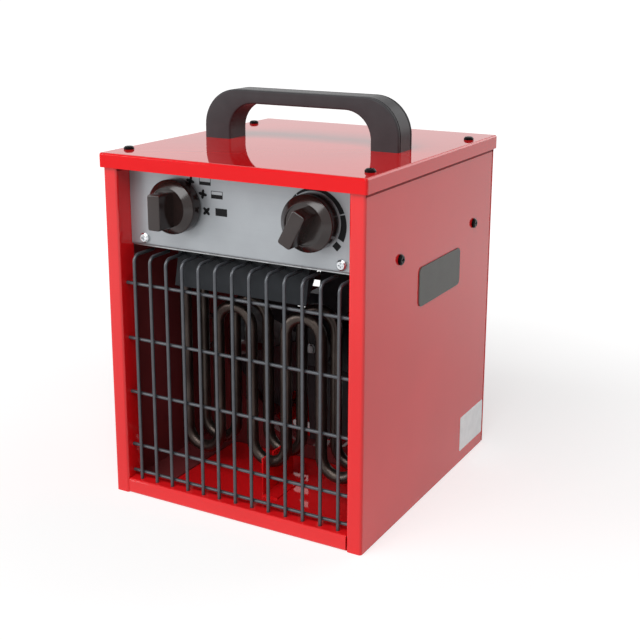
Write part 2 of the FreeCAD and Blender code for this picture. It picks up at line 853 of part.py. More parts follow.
def motor_bridge():
    """The strap across the fan's collar that carries the motor."""
    body = body_named("motor_bridge")
    path = [
        (-bridge_foot_x, bulkhead_back),
        (-bridge_leg_x, bulkhead_back),
        (-bridge_leg_x, bridge_front),
        (bridge_leg_x, bridge_front),
        (bridge_leg_x, bulkhead_back),
        (bridge_foot_x, bulkhead_back),
    ]
    outline = strip(path, S.bridge_gauge, S.bend_radius)
    z = (fan_z - S.bridge_height / 2, fan_z + S.bridge_height / 2)
    pad(body, "bridge_strap", "XY_Plane", z, [outline])
    circles = [((0, fan_z), S.bush_radius + S.shaft_clearance)]
    circles += [((hand * S.motor_screw_x, fan_z), motor_hole) for hand in (-1, 1)]
    pocket(body, "bridge_holes", "XZ_Plane", (bridge_front, bridge_back), circles=circles)
    foot_holes = [((x, z_at), screw_hole) for x in bridge_screw_x for z_at in bridge_screw_z]
    foot_y = (bulkhead_back, bulkhead_back + S.bridge_gauge)
    pocket(body, "bridge_foot_holes", "XZ_Plane", foot_y, circles=foot_holes)
    return body


def bearing_bracket(name, outer_face, foot, facing):
    """A bearing bracket: feet on the stator, legs and a cross bar with the bush's seat."""
    body = body_named(name)
    gauge = S.bracket_gauge
    leg = S.motor_screw_x - S.bracket_foot / 2
    end = S.motor_screw_x + S.bracket_foot / 2
    cross = outer_face - facing * gauge
    path = [(-end, foot), (-leg, foot), (-leg, cross), (leg, cross), (leg, foot), (end, foot)]
    if facing < 0:
        path.reverse()
    pad(body, name + "_strap", "XY_Plane",
        (fan_z - S.bracket_height / 2, fan_z + S.bracket_height / 2),
        [strip(path, gauge, S.bend_radius)])
    cross_y = sorted_pair(cross, outer_face)
    seat = [((0, fan_z), S.bush_radius + S.shaft_fit)]
    pocket(body, name + "_seat", "XZ_Plane", cross_y, circles=seat)
    foot_y = sorted_pair(foot, foot + facing * gauge)
    holes = [((hand * S.motor_screw_x, fan_z), motor_hole) for hand in (-1, 1)]
    pocket(body, name + "_holes", "XZ_Plane", foot_y, circles=holes)
    return body


def deflector():
    """The lip under the control panel that turns the hot air away from it."""
    body = body_named("deflector")
    fold = front + S.deflector_front
    lip = fold - S.deflector_lean
    rear = fold + S.deflector_flange
    low = shelf_under - S.deflector_drop
    gauge = S.deflector_gauge
    outline = [
        (rear, shelf_under),
        (fold, shelf_under),
        (lip, low),
        (lip + gauge, low),
        (fold + gauge, shelf_under - gauge),
        (rear, shelf_under - gauge),
    ]
    left = S.deflector_shift - S.deflector_width / 2
    right = S.deflector_shift + S.deflector_width / 2
    pad(body, "deflector_lip", "YZ_Plane", (left, right), [outline])
    gusset = [(rear, shelf_under), (fold, shelf_under), (lip, low), (lip + gauge, low)]
    for name, inner, outer in (("left", left, left + gauge), ("right", right - gauge, right)):
        pad(body, f"deflector_{name}_gusset", "YZ_Plane", (inner, outer), [gusset])
    return body


def knob(name, x, turn):
    """A moulded knob: skirt, broad cone, shallow recess and a bar to grip; hollow behind."""
    body = body_named(name)
    profile = sketch_on(body, name + "_profile", "XY_Plane", 0)
    skirt_inside = S.knob_radius - S.knob_wall
    draw_outline(profile, [
        (S.knob_radius, -S.knob_gap),
        (S.knob_radius, -S.knob_skirt),
        (S.knob_front_radius, -S.knob_ring),
        (S.knob_front_radius - S.knob_rim, -S.knob_ring),
        (S.knob_front_radius - S.knob_rim, -S.knob_floor),
        (0, -S.knob_floor),
        (0, -S.knob_gap - S.knob_hub_lift),
        (S.knob_hub, -S.knob_gap - S.knob_hub_lift),
        (S.knob_hub, -S.knob_ceiling),
        (skirt_inside, -S.knob_ceiling),
        (skirt_inside, -S.knob_gap),
    ])
    turning = body.newObject("PartDesign::Revolution", name + "_turning")
    turning.Profile = profile
    turning.ReferenceAxis = (profile, ["V_Axis"])
    turning.Angle = 360
    grip_x = (-S.grip_width / 2, S.grip_width / 2)
    grip_z = (S.grip_shift - S.grip_length / 2, S.grip_shift + S.grip_length / 2)
    grip_y = (-S.grip_height, -S.knob_floor)
    bar = pad(body, name + "_grip", "XZ_Plane", grip_y, [oblong(grip_x, grip_z, S.grip_corner)])
    tip = -S.grip_height.value
    soften(body, name + "_grip_edge", bar, lambda e: e.BoundBox.YMax < tip + 1e-6, S.grip_edge)
    bore_y = (-S.knob_bore_depth, -S.knob_gap)
    pocket(body, name + "_bore", "XZ_Plane", bore_y, circles=[((0, 0), S.control_shaft + S.shaft_fit)])
    body.Placement = FreeCAD.Placement(Vector(0, 0, 0), FreeCAD.Rotation(Vector(0, 1, 0), 1))
    bind(body, "Placement.Rotation.Angle", Size(turn.value, f"{turn.text} * 1 deg"))
    bind(body, "Placement.Base.x", x)
    bind(body, "Placement.Base.y", panel_face)
    bind(body, "Placement.Base.z", control_z)
    return body


def fan_wheel():
    """The axial fan: a bored hub and twisted blades."""
    body = body_named("fan_wheel")
    hub_y = (-S.fan_hub_length / 2, S.fan_hub_length / 2)
    pad(body, "fan_hub", "XZ_Plane", hub_y, circles=[((0, 0), S.fan_hub_radius)])
    sections = []
    for name, radius, chord, pitch in (
        ("root", S.fan_hub_radius * 0.6, S.blade_root_chord, S.blade_root_pitch),
        ("tip", fan_radius, S.blade_tip_chord, S.blade_tip_pitch),
    ):
        section = sketch_on(body, f"blade_{name}", "YZ_Plane", radius)
        along = turned(pitch, "cos")
        rise = turned(pitch, "sin")
        length = chord / 2
        thick = S.blade_gauge / 2
        corners = []
        for lengthwise, across in ((-1, -1), (1, -1), (1, 1), (-1, 1)):
            y = lengthwise * length * rise - across * thick * along
            z = lengthwise * length * along + across * thick * rise
            corners.append((y, z))
        draw_outline(section, corners)
        sections.append(section)
    blade = body.newObject("PartDesign::AdditiveLoft", "blade")
    blade.Profile = sections[0]
    blade.Sections = [sections[1]]
    blade.Ruled = True
    blades = body.newObject("PartDesign::PolarPattern", "blades")
    blades.Originals = [blade]
    spin = [item for item in body.Origin.OriginFeatures if item.Role == "Y_Axis"][0]
    blades.Axis = (spin, [""])
    blades.Angle = 360
    blades.Occurrences = BLADES
    body.Tip = blades
    rim = [((0, 0), fan_radius), ((0, 0), fan_radius + S.blade_tip_chord)]
    pocket(body, "blade_tips", "XZ_Plane", hub_y, circles=rim)
    bore = [((0, 0), S.motor_shaft + S.shaft_fit)]
    pocket(body, "fan_bore", "XZ_Plane", hub_y, circles=bore)
    bind(body, "Placement.Base.y", fan_y)
    bind(body, "Placement.Base.z", fan_z)
    return body


def screw(name, seat, facing, length):
    """A pan head screw with a cross recess; it points away from its facing."""
    shank = rod(name + "_shank", seat, facing, S.screw_radius, length, -length)
    rim = S.screw_head_height * 0.55
    head = rod(name + "_head", seat, facing, S.screw_head_radius, rim)
    crown_radius = S.screw_head_radius * 0.72
    crown = taper(name + "_crown", seat, facing, S.screw_head_radius, crown_radius,
                  S.screw_head_height - rim, rim)
    whole = fuse(name + "_blank", [shank, head, crown])
    floor = S.screw_head_height - S.recess_depth
    bars = [
        slab(name + "_recess_a", seat, facing, S.recess_length, S.recess_width, S.recess_depth, floor),
        slab(name + "_recess_b", seat, facing, S.recess_width, S.recess_length, S.recess_depth, floor),
    ]
    return cut(name, whole, bars)


def screws(name, seats, facing, length):
    """A group of like screws; facing is one direction, or one for each seat."""
    facings = [facing] * len(seats) if isinstance(facing, str) else facing
    made = []
    for number, (seat, way) in enumerate(zip(seats, facings), 1):
        made.append(screw(f"{name}_{number}", seat, way, length))
    return group(name, made)


def front_grille():
    """Upright wires bent back at the top, on cross wires that reach the casing's returns."""
    radius = S.wire / 2
    bend_y = wire_plane + S.wire_bend
    bend_z = wire_top - S.wire_bend
    foot = S.bar_height - S.sheet_gauge
    pieces = []
    for number, x in enumerate(wire_x, 1):
        upright = rod(f"upright_{number}", (x, wire_plane, foot), "+z", radius, bend_z - foot)
        turn = elbow(f"upright_{number}_bend", (x, bend_y, bend_z), "-y", "+z", radius, S.wire_bend)
        tail = rod(f"upright_{number}_tail", (x, bend_y, wire_top), "+y", radius, wire_end - bend_y)
        pieces += [upright, turn, tail]
    reach = opening - S.wire_end_gap
    for number, z in enumerate(rung_z, 1):
        seat = (-reach, wire_plane + S.wire - S.wire_weld, z)
        pieces.append(rod(f"rung_{number}", seat, "+x", radius, reach * 2))
    return fuse("front_grille", pieces)


def heating_element(name, y):
    """A tubular element: upright legs joined by hairpin bends at the bottom and arches above."""
    bend = S.element_pitch / 2
    low = S.element_low + bend
    high = arch_z - bend
    pieces = []
    for number, x in enumerate(leg_x):
        end_leg = number in (0, ELEMENT_LEGS - 1)
        top = element_top if end_leg else high
        pieces.append(rod(f"{name}_leg_{number}", (x, y, low), "+z", S.element_radius, top - low))
        if number + 1 == ELEMENT_LEGS:
            continue
        middle = x + bend
        if number % 2 == 0:
            pieces.append(elbow(f"{name}_hairpin_{number}", (middle, y, low), "+x", "-x",
                                S.element_radius, bend))
        else:
            pieces.append(elbow(f"{name}_arch_{number}", (middle, y, high), "-x", "+x",
                                S.element_radius, bend))
    return fuse(name, pieces)


def element_bushes():
    """Ceramic bushes that carry the element ends through the shelf."""
    made = []
    for x in element_end_x:
        for y in element_y:
            name = f"element_bush_{len(made) + 1}"
            seat = (x, y, shelf_under)
            neck = rod(name + "_neck", seat, "+z", bush_outer, S.sheet_gauge + S.bush_rise)
            collar = rod(name + "_collar", seat, "-z", bush_outer + S.bush_flange, S.bush_flange_height)
            height = S.bush_flange_height + S.sheet_gauge + S.bush_rise
            bore = rod(name + "_bore", seat, "+z", S.element_radius + S.bush_fit, height,
                       -S.bush_flange_height)
            made.append(cut(name, fuse(name + "_blank", [neck, collar]), [bore]))
    return group("element_bushes", made)


def element_terminals():
    """A pin and a push-on blade at each element end."""
    made = []
    for x in element_end_x:
        for y in element_y:
            name = f"element_terminal_{len(made) + 1}"
            seat = (x, y, element_top)
            pin = rod(name + "_pin", seat, "+z", S.terminal_pin, S.terminal_rise)
            blade = slab(name + "_blade", seat, "+z", S.tab_blade_gauge, S.tab_blade,
                         S.tab_blade_length, S.terminal_rise)
            made.append(fuse(name, [pin, blade]))
    return group("element_terminals", made)


def element_support():
    """An upright plate on the floor with notches that the middle hairpins rest in."""
    y = (element_y[0] - S.support_margin, element_y[1] + S.support_margin)
    half = S.support_gauge / 2
    top = S.element_low + S.support_rise
    plate = block("support_plate", (-half, half), y, (S.sheet_gauge, top))
    foot = block("support_foot_strip", (-half, S.support_foot), y,
                 (S.sheet_gauge, S.sheet_gauge + S.support_gauge))
    slot = S.element_radius + S.bush_fit
    tools = []
    for number, y_at in enumerate(element_y, 1):
        tools.append(rod(f"support_notch_{number}", (-S.support_gauge, y_at, S.element_low), "+x", slot,
                         S.support_gauge * 2))
        tools.append(block(f"support_mouth_{number}", (-S.support_gauge, S.support_gauge),
                           (y_at - slot, y_at + slot), (S.element_low, top + S.support_gauge)))
    return cut("element_support", fuse("support_blank", [plate, foot]), tools)


def thermal_cutout():
    """The safety cut-out: a round capsule on a two-hole flange, with two blades."""
    seat = (cutout_x, bulkhead_front, cutout_z)
    flange = slab("cutout_flange", seat, "-y", S.cutout_flange_width, S.cutout_radius * 2,
                  S.cutout_flange_gauge)
    capsule = rod("cutout_capsule", seat, "-y", S.cutout_radius, S.cutout_height)
    blades = []
    for hand in (-1, 1):
        blade_seat = (cutout_x, bulkhead_front, cutout_z + hand * S.cutout_radius / 2)
        blades.append(slab(f"cutout_blade_{hand + 2}", blade_seat, "-y", S.tab_blade,
                           S.tab_blade_gauge, S.tab_blade_length, S.cutout_height))
    holes = []
    for hand in (-1, 1):
        hole_seat = (cutout_x + hand * cutout_screw_x, bulkhead_front, cutout_z)
        holes.append(rod(f"cutout_hole_{hand + 2}", hole_seat, "-y", screw_hole, S.cutout_flange_gauge))
    return cut("thermal_cutout", fuse("cutout_blank", [flange, capsule] + blades), holes)


def motor_rotor():
    """The rotor on its shaft, which also carries the fan."""
    seat = (0, shaft_front, fan_z)
    shaft = rod("rotor_shaft", seat, "+y", S.motor_shaft, shaft_back - shaft_front)
    core_seat = (0, stator_front, fan_z)
    core = rod("rotor_core", core_seat, "+y", S.rotor_radius, S.stator_depth)
    return fuse("motor_rotor", [shaft, core])


def motor_stator():
    """The laminated core: a bore for the rotor and a window under it for the coil."""
    half = S.stator_width / 2
    y = (stator_front, stator_back)
    z = (fan_z - S.stator_bottom, fan_z + S.stator_top)
    core = block("stator_core", (-half, half), y, z)
    seat = (0, stator_front, fan_z)
    bore = rod("stator_bore", seat, "+y", S.rotor_radius + S.air_gap, S.stator_depth)
    window_z = (fan_z - S.window_bottom, fan_z - S.window_top)
    window = block("stator_window", (-S.window_width / 2, S.window_width / 2), y, window_z)
    holes = []
    for hand in (-1, 1):
        hole_seat = (hand * S.motor_screw_x, stator_front, fan_z)
        holes.append(rod(f"stator_hole_{hand + 2}", hole_seat, "+y", motor_hole, S.stator_depth))
    return cut("motor_stator", core, [bore, window] + holes)


def motor_coil():
    """The coil on its bobbin, round the lower limb of the core."""
    half = S.window_width / 2 - S.coil_fit
    z = (fan_z - S.stator_bottom - S.coil_build, fan_z - S.window_top - S.coil_fit)
    y = (stator_front - S.coil_build, stator_back + S.coil_build)
    wound = block("coil_block", (-half, half), y, z)
    limb_y = (stator_front - S.coil_fit, stator_back + S.coil_fit)
    limb_z = (fan_z - S.stator_bottom - S.coil_fit, fan_z - S.window_bottom + S.coil_fit)
    limb = block("coil_limb", (-S.window_width / 2, S.window_width / 2), limb_y, limb_z)
    return cut("motor_coil", wound, [limb])


def bored_rod(name, seat, facing, radius, bore, length, start=0):
    """A round sleeve."""
    outside = rod(name + "_outside", seat, facing, radius, length, start)
    inside = rod(name + "_inside", seat, facing, bore, length, start)
    return cut(name, outside, [inside])


def motor_bushes():
    """Sintered bushes in the two bearing brackets."""
    bore = S.motor_shaft + S.motor_shaft_fit
    front_seat = (0, bracket_front, fan_z)
    rear_seat = (0, bracket_back, fan_z)
    return group("motor_bushes", [
        bored_rod("front_bush", front_seat, "+y", S.bush_radius, bore, S.bush_length),
        bored_rod("rear_bush", rear_seat, "-y", S.bush_radius, bore, S.bush_length),
    ])


def nut(name, seat, facing, bore):
    """A hexagon nut."""
    blank = hexagon(name + "_blank", seat, facing, S.nut_radius, S.nut_height)
    hole = rod(name + "_hole", seat, facing, bore, S.nut_height)
    return cut(name, blank, [hole])


def motor_fasteners():
    """The long screws that clamp bridge, brackets and stator, and their nuts."""
    length = stator_back + S.bracket_gauge + S.nut_height + S.shaft_tail - bridge_front
    long_screws = []
    nuts = []
    for number, hand in enumerate((-1, 1), 1):
        x = hand * S.motor_screw_x
        seat = (x, bridge_front, fan_z)
        shank = rod(f"motor_screw_{number}_shank", seat, "+y", S.motor_screw_radius, length)
        head = rod(f"motor_screw_{number}_head", seat, "-y", S.screw_head_radius, S.screw_head_height)
        long_screws.append(fuse(f"motor_screw_{number}", [shank, head]))
        nut_seat = (x, stator_back + S.bracket_gauge, fan_z)
        nuts.append(nut(f"motor_nut_{number}", nut_seat, "+y", motor_hole))
    return group("motor_screws", long_screws), group("motor_nuts", nuts)


def rotary_control(name, x, width, depth):
    """A switch or thermostat body behind the panel, bored for its shaft, with push-on blades."""
    seat = (x, panel_back, control_z)
    case = slab(name + "_case", seat, "+y", width, width, depth)
    blades = []
    for number, hand in enumerate((-1, 0, 1), 1):
        blade_seat = (x + hand * width / 4, panel_back, control_z)
        blades.append(slab(f"{name}_blade_{number}", blade_seat, "+y", S.tab_blade_gauge, S.tab_blade,
                           S.tab_blade_length, depth))
    bore = rod(name + "_bore", seat, "+y", S.control_shaft + S.shaft_fit, S.shaft_depth + S.shaft_tail)
    holes = []
    for hand in (-1, 1):
        hole_seat = (x + hand * S.control_screw_reach, panel_back, control_z)
        holes.append(rod(f"{name}_hole_{hand + 2}", hole_seat, "+y", screw_hole, S.screw_length))
    return cut(name, fuse(name + "_blank", [case] + blades), [bore] + holes)


def control_shaft(name, x):
    """The shaft from a control into its knob."""
    seat = (x, panel_back + S.shaft_depth, control_z)
    reach = S.shaft_depth + S.panel_gauge + S.knob_bore_depth - S.shaft_end_gap
    return rod(name, seat, "-y", S.control_shaft, reach)


def terminal_block():
    """The moulded mains terminal strip on the shelf."""
    half = S.block_length / 2
    width = S.block_width / 2
    z = (panel_bottom, panel_bottom + S.block_height)
    body = block("terminal_body", (S.block_x - half, S.block_x + half),
                 (block_y - width, block_y + width), z)
    tools = []
    pitch = (S.block_length - 4 * S.block_screw_inset) / 3
    for number in range(3):
        x = S.block_x + (number - 1) * pitch
        seat = (x, block_y - width, panel_bottom + S.block_height / 2)
        tools.append(rod(f"terminal_way_{number}", seat, "+y", S.screw_radius, S.block_width))
        driver = (x, block_y, panel_bottom + S.block_height)
        tools.append(rod(f"terminal_well_{number}", driver, "-z", S.screw_radius, S.block_height / 2))
    for hand in (-1, 1):
        seat = (S.block_x + hand * block_screw_x, block_y, panel_bottom)
        tools.append(rod(f"terminal_fixing_{hand + 2}", seat, "+z", screw_hole, S.block_height))
    return cut("terminal_block", body, tools)


def cable_gland():
    """The cable gland through the back panel: hexagon flange, dome and threaded neck."""
    seat = (gland_x, back, gland_z)
    flange = hexagon("gland_hexagon", seat, "+y", S.gland_head, S.gland_flange)
    dome = taper("gland_cone", seat, "+y", S.gland_head * 0.82, S.gland_mouth * 1.5, S.gland_dome,
                 S.gland_flange)
    neck = rod("gland_neck", seat, "-y", S.gland_radius, S.gland_thread_length)
    length = S.gland_flange + S.gland_dome + S.gland_thread_length
    mouth = rod("gland_bore", seat, "+y", S.gland_mouth, length, -S.gland_thread_length)
    return cut("cable_gland", fuse("gland_blank", [flange, dome, neck]), [mouth])


def gland_locknut():
    """The lock nut inside the back panel."""
    seat = (gland_x, back_plane, gland_z)
    blank = hexagon("locknut_blank", seat, "-y", S.gland_head, S.locknut_height)
    hole = rod("locknut_hole", seat, "-y", S.gland_radius + S.gland_fit, S.locknut_height)
    return cut("gland_locknut", blank, [hole])


def side_plate():
    """The plain plate on the right side."""
    body = body_named("side_plate")
    y = (front + S.plate_front, front + S.plate_front + S.plate_length)
    top = S.casing_height - S.plate_drop
    z = (top - S.plate_height, top)
    x = (half_width, half_width + S.plate_gauge)
    pad(body, "plate_sheet", "YZ_Plane", x, [oblong(y, z, S.plate_corner)])
    return body


# Places of the grille, the elements and the fan section
wire_plane = front + S.wire_setback
wire_top = panel_bottom - S.wire_drop
wire_pitch = (opening - S.wire_margin) * 2 / (WIRES - 1)
wire_x = [(number - (WIRES - 1) / 2) * wire_pitch for number in range(WIRES)]
lip_slope = S.deflector_lean / S.deflector_drop
lip_y = front + S.deflector_front - (shelf_under - wire_top + S.wire / 2) * lip_slope
wire_end = lip_y - S.wire_end_gap
lowest_rung = S.bar_height + S.lowest_rung_rise
rung_step = (wire_top - S.top_rung_drop - lowest_rung) / (RUNGS - 1.5)
rung_z = [lowest_rung] + [lowest_rung + (number + 0.5) * rung_step for number in range(RUNGS - 1)]
element_y = (front + S.element_setback, front + S.element_setback + S.element_spacing)
leg_x = [(number - (ELEMENT_LEGS - 1) / 2) * S.element_pitch for number in range(ELEMENT_LEGS)]
element_end_x = (leg_x[0], leg_x[-1])
arch_z = panel_bottom - S.element_arch_drop
bush_outer = S.element_radius + S.bush_fit + S.bush_wall
element_top = panel_bottom + S.bush_rise + S.element_stub
block_screw_x = S.block_length / 2 - S.block_screw_inset
cutout_screw_x = S.cutout_flange_width / 2 - S.screw_radius * 1.5
cutout_z = shelf_under - S.cutout_drop
bridge_leg_x = fan_hole + S.sheet_gauge + S.bridge_leg_gap
bridge_foot_x = bridge_leg_x + S.bridge_gauge + S.bridge_foot
bridge_screw = bridge_leg_x + S.bridge_gauge + S.bridge_foot / 2
bridge_screw_x = (-bridge_screw, bridge_screw)
bridge_screw_z = (fan_z - S.bridge_height / 3, fan_z + S.bridge_height / 3)
motor_hole = S.motor_screw_radius + S.screw_fit
fan_y = bulkhead_front + S.fan_lead + S.fan_hub_length / 2
fan_front = fan_y - S.fan_hub_length / 2
shaft_front = fan_front - S.nut_height - S.shaft_tail

nodes = [
    side_panel("left_side", -1),
    side_panel("right_side", 1),
    floor_pan(),
    lid(),
    handle(),
    control_panel(),
    control_shelf(),
    back_panel(),
    fan_bulkhead(),
    motor_bridge(),
    bearing_bracket("motor_front_bracket", bracket_front, stator_front, -1),
    bearing_bracket("motor_rear_bracket", bracket_back, stator_back, 1),
    deflector(),
    knob("selector_knob", selector_x, as_size(0)),
    knob("thermostat_knob", thermostat_x, S.thermostat_turn),
    control_shaft("selector_shaft", selector_x),
    control_shaft("thermostat_shaft", thermostat_x),
    rotary_control("selector_switch", selector_x, S.switch_width, S.switch_depth),
    rotary_control("thermostat", thermostat_x, S.thermostat_width, S.thermostat_depth),
    front_grille(),
    heating_element("element_front", element_y[0]),
    heating_element("element_rear", element_y[1]),
    element_bushes(),
    element_terminals(),
    element_support(),
    thermal_cutout(),
    fan_wheel(),
    nut("fan_nut", (0, fan_front, fan_z), "-y", S.motor_shaft + S.shaft_fit),
    motor_rotor(),
    motor_stator(),
    motor_coil(),
    motor_bushes(),
    *motor_fasteners(),
    terminal_block(),
    cable_gland(),
    gland_locknut(),
    side_plate(),
]

# Fasteners
lid_seats = [(hand * lid_screw_x, y, lid_top) for hand in (-1, 1) for y in lid_screw_y]
nodes.append(screws("lid_screws", lid_seats, "+z", S.screw_length))
handle_seats = [(S.handle_shift + hand * handle_leg_x, 0, S.casing_height) for hand in (-1, 1)]
nodes.append(screws("handle_screws", handle_seats, "-z", S.screw_length))
panel_seats = [(hand * panel_screw_x, panel_face, z) for hand in (-1, 1) for z in panel_screw_z]
nodes.append(screws("panel_screws", panel_seats, "-y", S.screw_length))
side_seats = [(hand * half_width, y, side_screw_z) for hand in (-1, 1) for y in side_screw_y]
nodes.append(screws("side_screws", side_seats, ["-x", "-x", "+x", "+x"], S.screw_length))
back_seats = [(hand * back_screw_x, back, z) for hand in (-1, 1) for z in back_screw_z]
nodes.append(screws("back_screws", back_seats, "+y", S.screw_length))
bridge_seats = [(x, bulkhead_back + S.bridge_gauge, z) for x in bridge_screw_x for z in bridge_screw_z]
nodes.append(screws("bridge_screws", bridge_seats, "+y", S.screw_length))
control_seats = []
for control_x in (selector_x, thermostat_x):
    for hand in (-1, 1):
        control_seats.append((control_x + hand * S.control_screw_reach, panel_face, control_z))
nodes.append(screws("control_screws", control_seats, "-y", S.screw_length))
block_seats = []
for hand in (-1, 1):
    block_seats.append((S.block_x + hand * block_screw_x, block_y, panel_bottom + S.block_height))
block_screw_length = S.block_height + S.screw_length / 2
nodes.append(screws("terminal_screws", block_seats, "+z", block_screw_length))
cutout_seats = []
for hand in (-1, 1):
    cutout_seats.append((cutout_x + hand * cutout_screw_x,
                         bulkhead_front - S.cutout_flange_gauge, cutout_z))
nodes.append(screws("cutout_screws", cutout_seats, "-y", S.screw_length))

doc.recompute()
for item in doc.Objects:
    if "Invalid" in item.State or "Error" in item.State:
        raise RuntimeError(f"{item.Name} did not build: {item.State}")
    if item.TypeId == "PartDesign::Pocket":
        before = item.BaseFeature.Shape.Volume
        if item.Shape.Volume > before - 1e-6:
            raise RuntimeError(f"{item.Name} cuts nothing")
for node in nodes:
    if node.Shape.isNull() or not node.Shape.isValid() or not node.Shape.Solids:
        raise RuntimeError(f"{node.Label} has no valid solid")
for node in nodes:
    solids = node.Shape.Solids
    shape = solids[0] if len(solids) == 1 else Part.makeCompound(solids)
    shape.exportStep(f"parts/{node.Label}.step")
    box = shape.BoundBox
    print(f"{node.Label:20s} {len(solids):2d} solids {shape.Volume:10.0f} mm3 "
          f"x {box.XMin:7.1f} {box.XMax:7.1f} y {box.YMin:7.1f} {box.YMax:7.1f} "
          f"z {box.ZMin:7.1f} {box.ZMax:7.1f}")
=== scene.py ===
import math

import bmesh
import bpy
from mathutils import Matrix, Vector


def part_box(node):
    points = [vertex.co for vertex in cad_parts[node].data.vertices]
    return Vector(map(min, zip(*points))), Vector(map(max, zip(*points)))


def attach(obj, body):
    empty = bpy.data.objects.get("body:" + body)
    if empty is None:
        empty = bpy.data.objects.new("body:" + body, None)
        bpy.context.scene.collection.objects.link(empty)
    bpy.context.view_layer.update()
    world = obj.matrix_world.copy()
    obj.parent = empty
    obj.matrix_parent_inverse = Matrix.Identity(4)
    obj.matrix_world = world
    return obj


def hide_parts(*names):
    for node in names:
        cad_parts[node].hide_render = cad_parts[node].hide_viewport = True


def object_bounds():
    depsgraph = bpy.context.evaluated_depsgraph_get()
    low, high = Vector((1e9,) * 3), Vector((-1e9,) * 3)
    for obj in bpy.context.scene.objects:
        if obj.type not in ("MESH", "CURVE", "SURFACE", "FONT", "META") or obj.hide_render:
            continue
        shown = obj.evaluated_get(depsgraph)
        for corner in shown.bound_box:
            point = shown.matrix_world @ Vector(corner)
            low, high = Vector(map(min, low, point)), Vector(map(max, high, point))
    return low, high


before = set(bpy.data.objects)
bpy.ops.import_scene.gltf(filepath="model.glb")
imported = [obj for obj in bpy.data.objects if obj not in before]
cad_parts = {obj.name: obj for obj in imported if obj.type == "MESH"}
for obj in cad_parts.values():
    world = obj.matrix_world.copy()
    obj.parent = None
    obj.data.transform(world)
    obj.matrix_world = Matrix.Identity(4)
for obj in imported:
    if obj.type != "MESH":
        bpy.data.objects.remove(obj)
CAD_BOX = [list(corner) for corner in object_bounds()]

bl_info = {
    "name": "Fan Heater Finish",
    "version": (1, 0, 0),
    "blender": (4, 5, 0),
    "location": "View3D > Sidebar > Fan Heater",
    "description": "Finishes the solids of a portable industrial fan heater for a studio picture",
    "category": "Object",
}

MM = 0.001
FULL_TURN = math.tau
QUARTER_TURN = FULL_TURN / 4
AXIS_Y, AXIS_Z = 1, 2
# Points that are nearer than this, in metres, count as one. Points that were spun are less exact.
TOUCH = 1e-6
SPUN_TOUCH = 1e-5

# Segments of rounded edges, corners and bends, and steps of turned shapes
EDGE_SEGMENTS = 4
CORNER_SEGMENTS = 5
BEND_SEGMENTS = 14
INNER_BEND_SEGMENTS = 12
BLADE_SEGMENTS = 14
KNOB_STEPS = 96
ARC_STEPS = 40


def linear(hex_code):
    """An sRGB hex colour as linear red, green and blue."""
    shares = [int(hex_code[start:start + 2], 16) / 255 for start in (1, 3, 5)]
    return tuple(v / 12.92 if v <= 0.04045 else ((v + 0.055) / 1.055) ** 2.4 for v in shares)


def number_property(name, value, description, **limits):
    """A number that a user may change."""
    return bpy.props.FloatProperty(name=name, description=description, default=value, **limits)


def length_property(name, millimetres, description):
    """A length that a user may change."""
    return number_property(
        name, millimetres * MM, description, min=0.0, unit="LENGTH", precision=5)


def angle_property(name, degrees, description):
    """An angle that a user may change."""
    return number_property(name, math.radians(degrees), description, subtype="ANGLE")


def colour_property(name, hex_code, description):
    """A colour that a user may change."""
    return bpy.props.FloatVectorProperty(
        name=name, description=description, default=linear(hex_code), subtype="COLOR", size=3,
        min=0.0, max=1.0)


